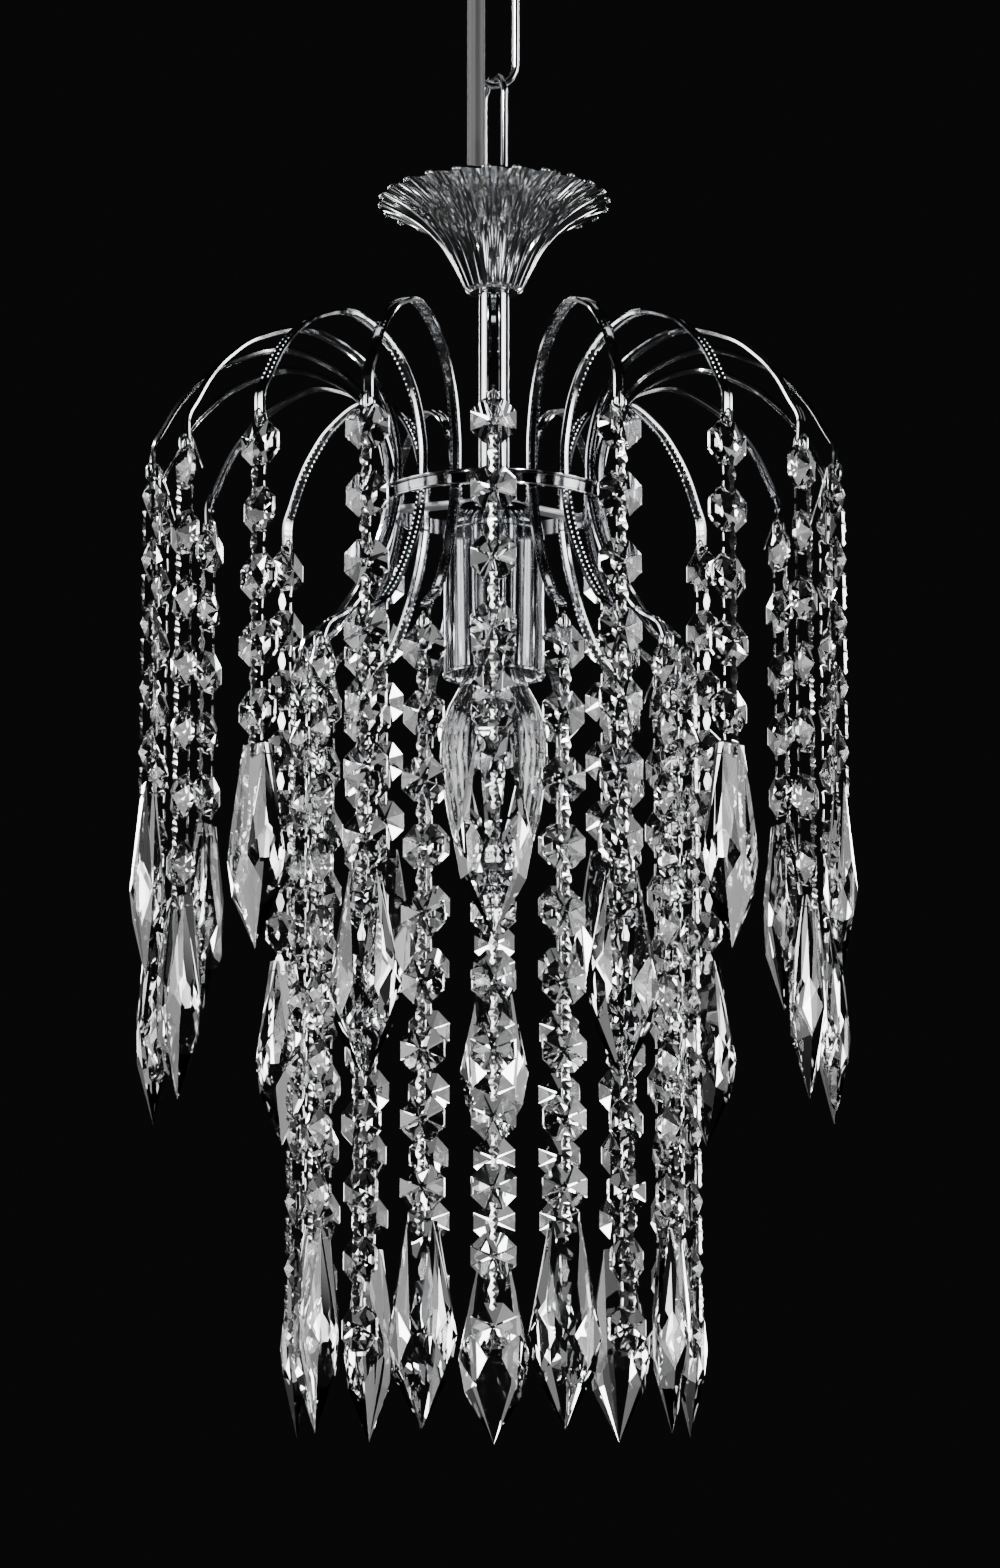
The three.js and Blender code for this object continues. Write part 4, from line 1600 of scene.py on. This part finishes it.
@dataclass
class Studio:
    """The floor, the soft lights and the camera."""

    floor: float = -2.4
    reach: float = 6.0
    world: float = 0.004
    aim: tuple[float, float, float] = (0.0, 0.0, -0.3)
    lens: float = 100.5
    sensor: float = 36.0
    stand: tuple[float, float, float] = (0.002, -1.407, -0.5686)
    tilt: float = math.radians(100.54)

    def build(self) -> None:
        """Make the floor, the world, the lights and the camera."""
        self.ground()
        self.sky()
        self.light("left_panel", (-1.0, -0.1, -0.25), (1.0, 1.5), 4.6, 60)
        self.light("right_panel", (1.0, -0.15, -0.25), (0.7, 1.5), 3.4, 60)
        self.light("top_strip", (0.0, 0.05, 0.9), (1.0, 0.16), 0.9)
        self.light("back_left", (-1.1, 1.6, -0.35), (1.2, 1.5), 0.5, 90)
        self.light("back_right", (1.2, 1.6, 0.35), (1.2, 1.5), 0.35, 90)
        self.light("back_top", (0.25, 1.5, 1.35), (0.7, 0.9), 0.2, 90)
        self.light("back_foot", (-0.2, 1.5, -1.2), (0.8, 1.0), 0.12, 90)
        self.light("edge_left", (-0.6, 1.45, 0.0), (0.07, 1.6), 1.8, 90)
        self.light("edge_right", (0.64, 1.45, 0.0), (0.07, 1.6), 1.8, 90)
        self.light("key_spot", (-0.7, -1.3, 0.5), (0.1, 0.1), 3.0, 90)
        self.light("fill_spot", (0.6, -1.2, -0.9), (0.1, 0.1), 1.6, 90)
        self.camera()

    def ground(self) -> None:
        """The plain pale floor."""
        bm = bmesh.new()
        bmesh.ops.create_grid(bm, x_segments=2, y_segments=2, size=self.reach)
        move(bm, bm.verts, Matrix.Translation((0, 0, self.floor)))
        mesh = bpy.data.meshes.new("studio_floor")
        bm.to_mesh(mesh)
        bm.free()
        nodes = Nodes("pale_floor")
        nodes.tint(nodes.noise(3.0), (0.6, 0.6, 0.59), (0.68, 0.68, 0.67))
        nodes.spread(nodes.noise(12.0), 0.6, 0.75, "Roughness")
        mesh.materials.append(nodes.material)
        made = bpy.data.objects.new("studio_floor", mesh)
        bpy.context.scene.collection.objects.link(made)

    def sky(self) -> None:
        """The dim neutral surround."""
        world = bpy.data.worlds.new("surround")
        world.use_nodes = True
        back = world.node_tree.nodes["Background"]
        back.inputs["Color"].default_value = (self.world, self.world, self.world * 1.03, 1.0)
        back.inputs["Strength"].default_value = 1.0
        bpy.context.scene.world = world

    def light(
        self, name: str, place: tuple[float, float, float], size: tuple[float, float], power: float,
        spread: float = 180.0,
    ) -> None:
        """A soft panel light that faces the lamp.

        Args:
            name: its name.
            place: where it stands.
            size: its width and height.
            power: its watts.
            spread: how wide its light opens, in degrees.
        """
        lamp = bpy.data.lights.new(name, "AREA")
        lamp.shape = "RECTANGLE"
        lamp.size, lamp.size_y = size
        lamp.energy = power
        lamp.spread = math.radians(spread)
        made = bpy.data.objects.new(name, lamp)
        made.location = place
        made.rotation_euler = (Vector(self.aim) - Vector(place)).to_track_quat("-Z", "Y").to_euler()
        bpy.context.scene.collection.objects.link(made)

    def camera(self) -> None:
        """The camera, a little below the lamp and looking up at it."""
        lens = bpy.data.cameras.new("camera")
        lens.lens = self.lens
        lens.sensor_width = self.sensor
        made = bpy.data.objects.new("camera", lens)
        made.location = self.stand
        made.rotation_euler = (self.tilt, 0, 0)
        bpy.context.scene.collection.objects.link(made)
        bpy.context.scene.camera = made


def main() -> None:
    """Build the whole lamp and its studio."""
    logging.basicConfig(level=logging.INFO, format="%(name)s: %(message)s")
    Studio().build()
    for part in (CeilingFitting(), Chain(), Flex(), Crown(), Stem(), Spray(), LampUnit(), Strands()):
        part.build()
        LOG.info("%s built", type(part).__name__)


if __name__ == "__main__":
    main()
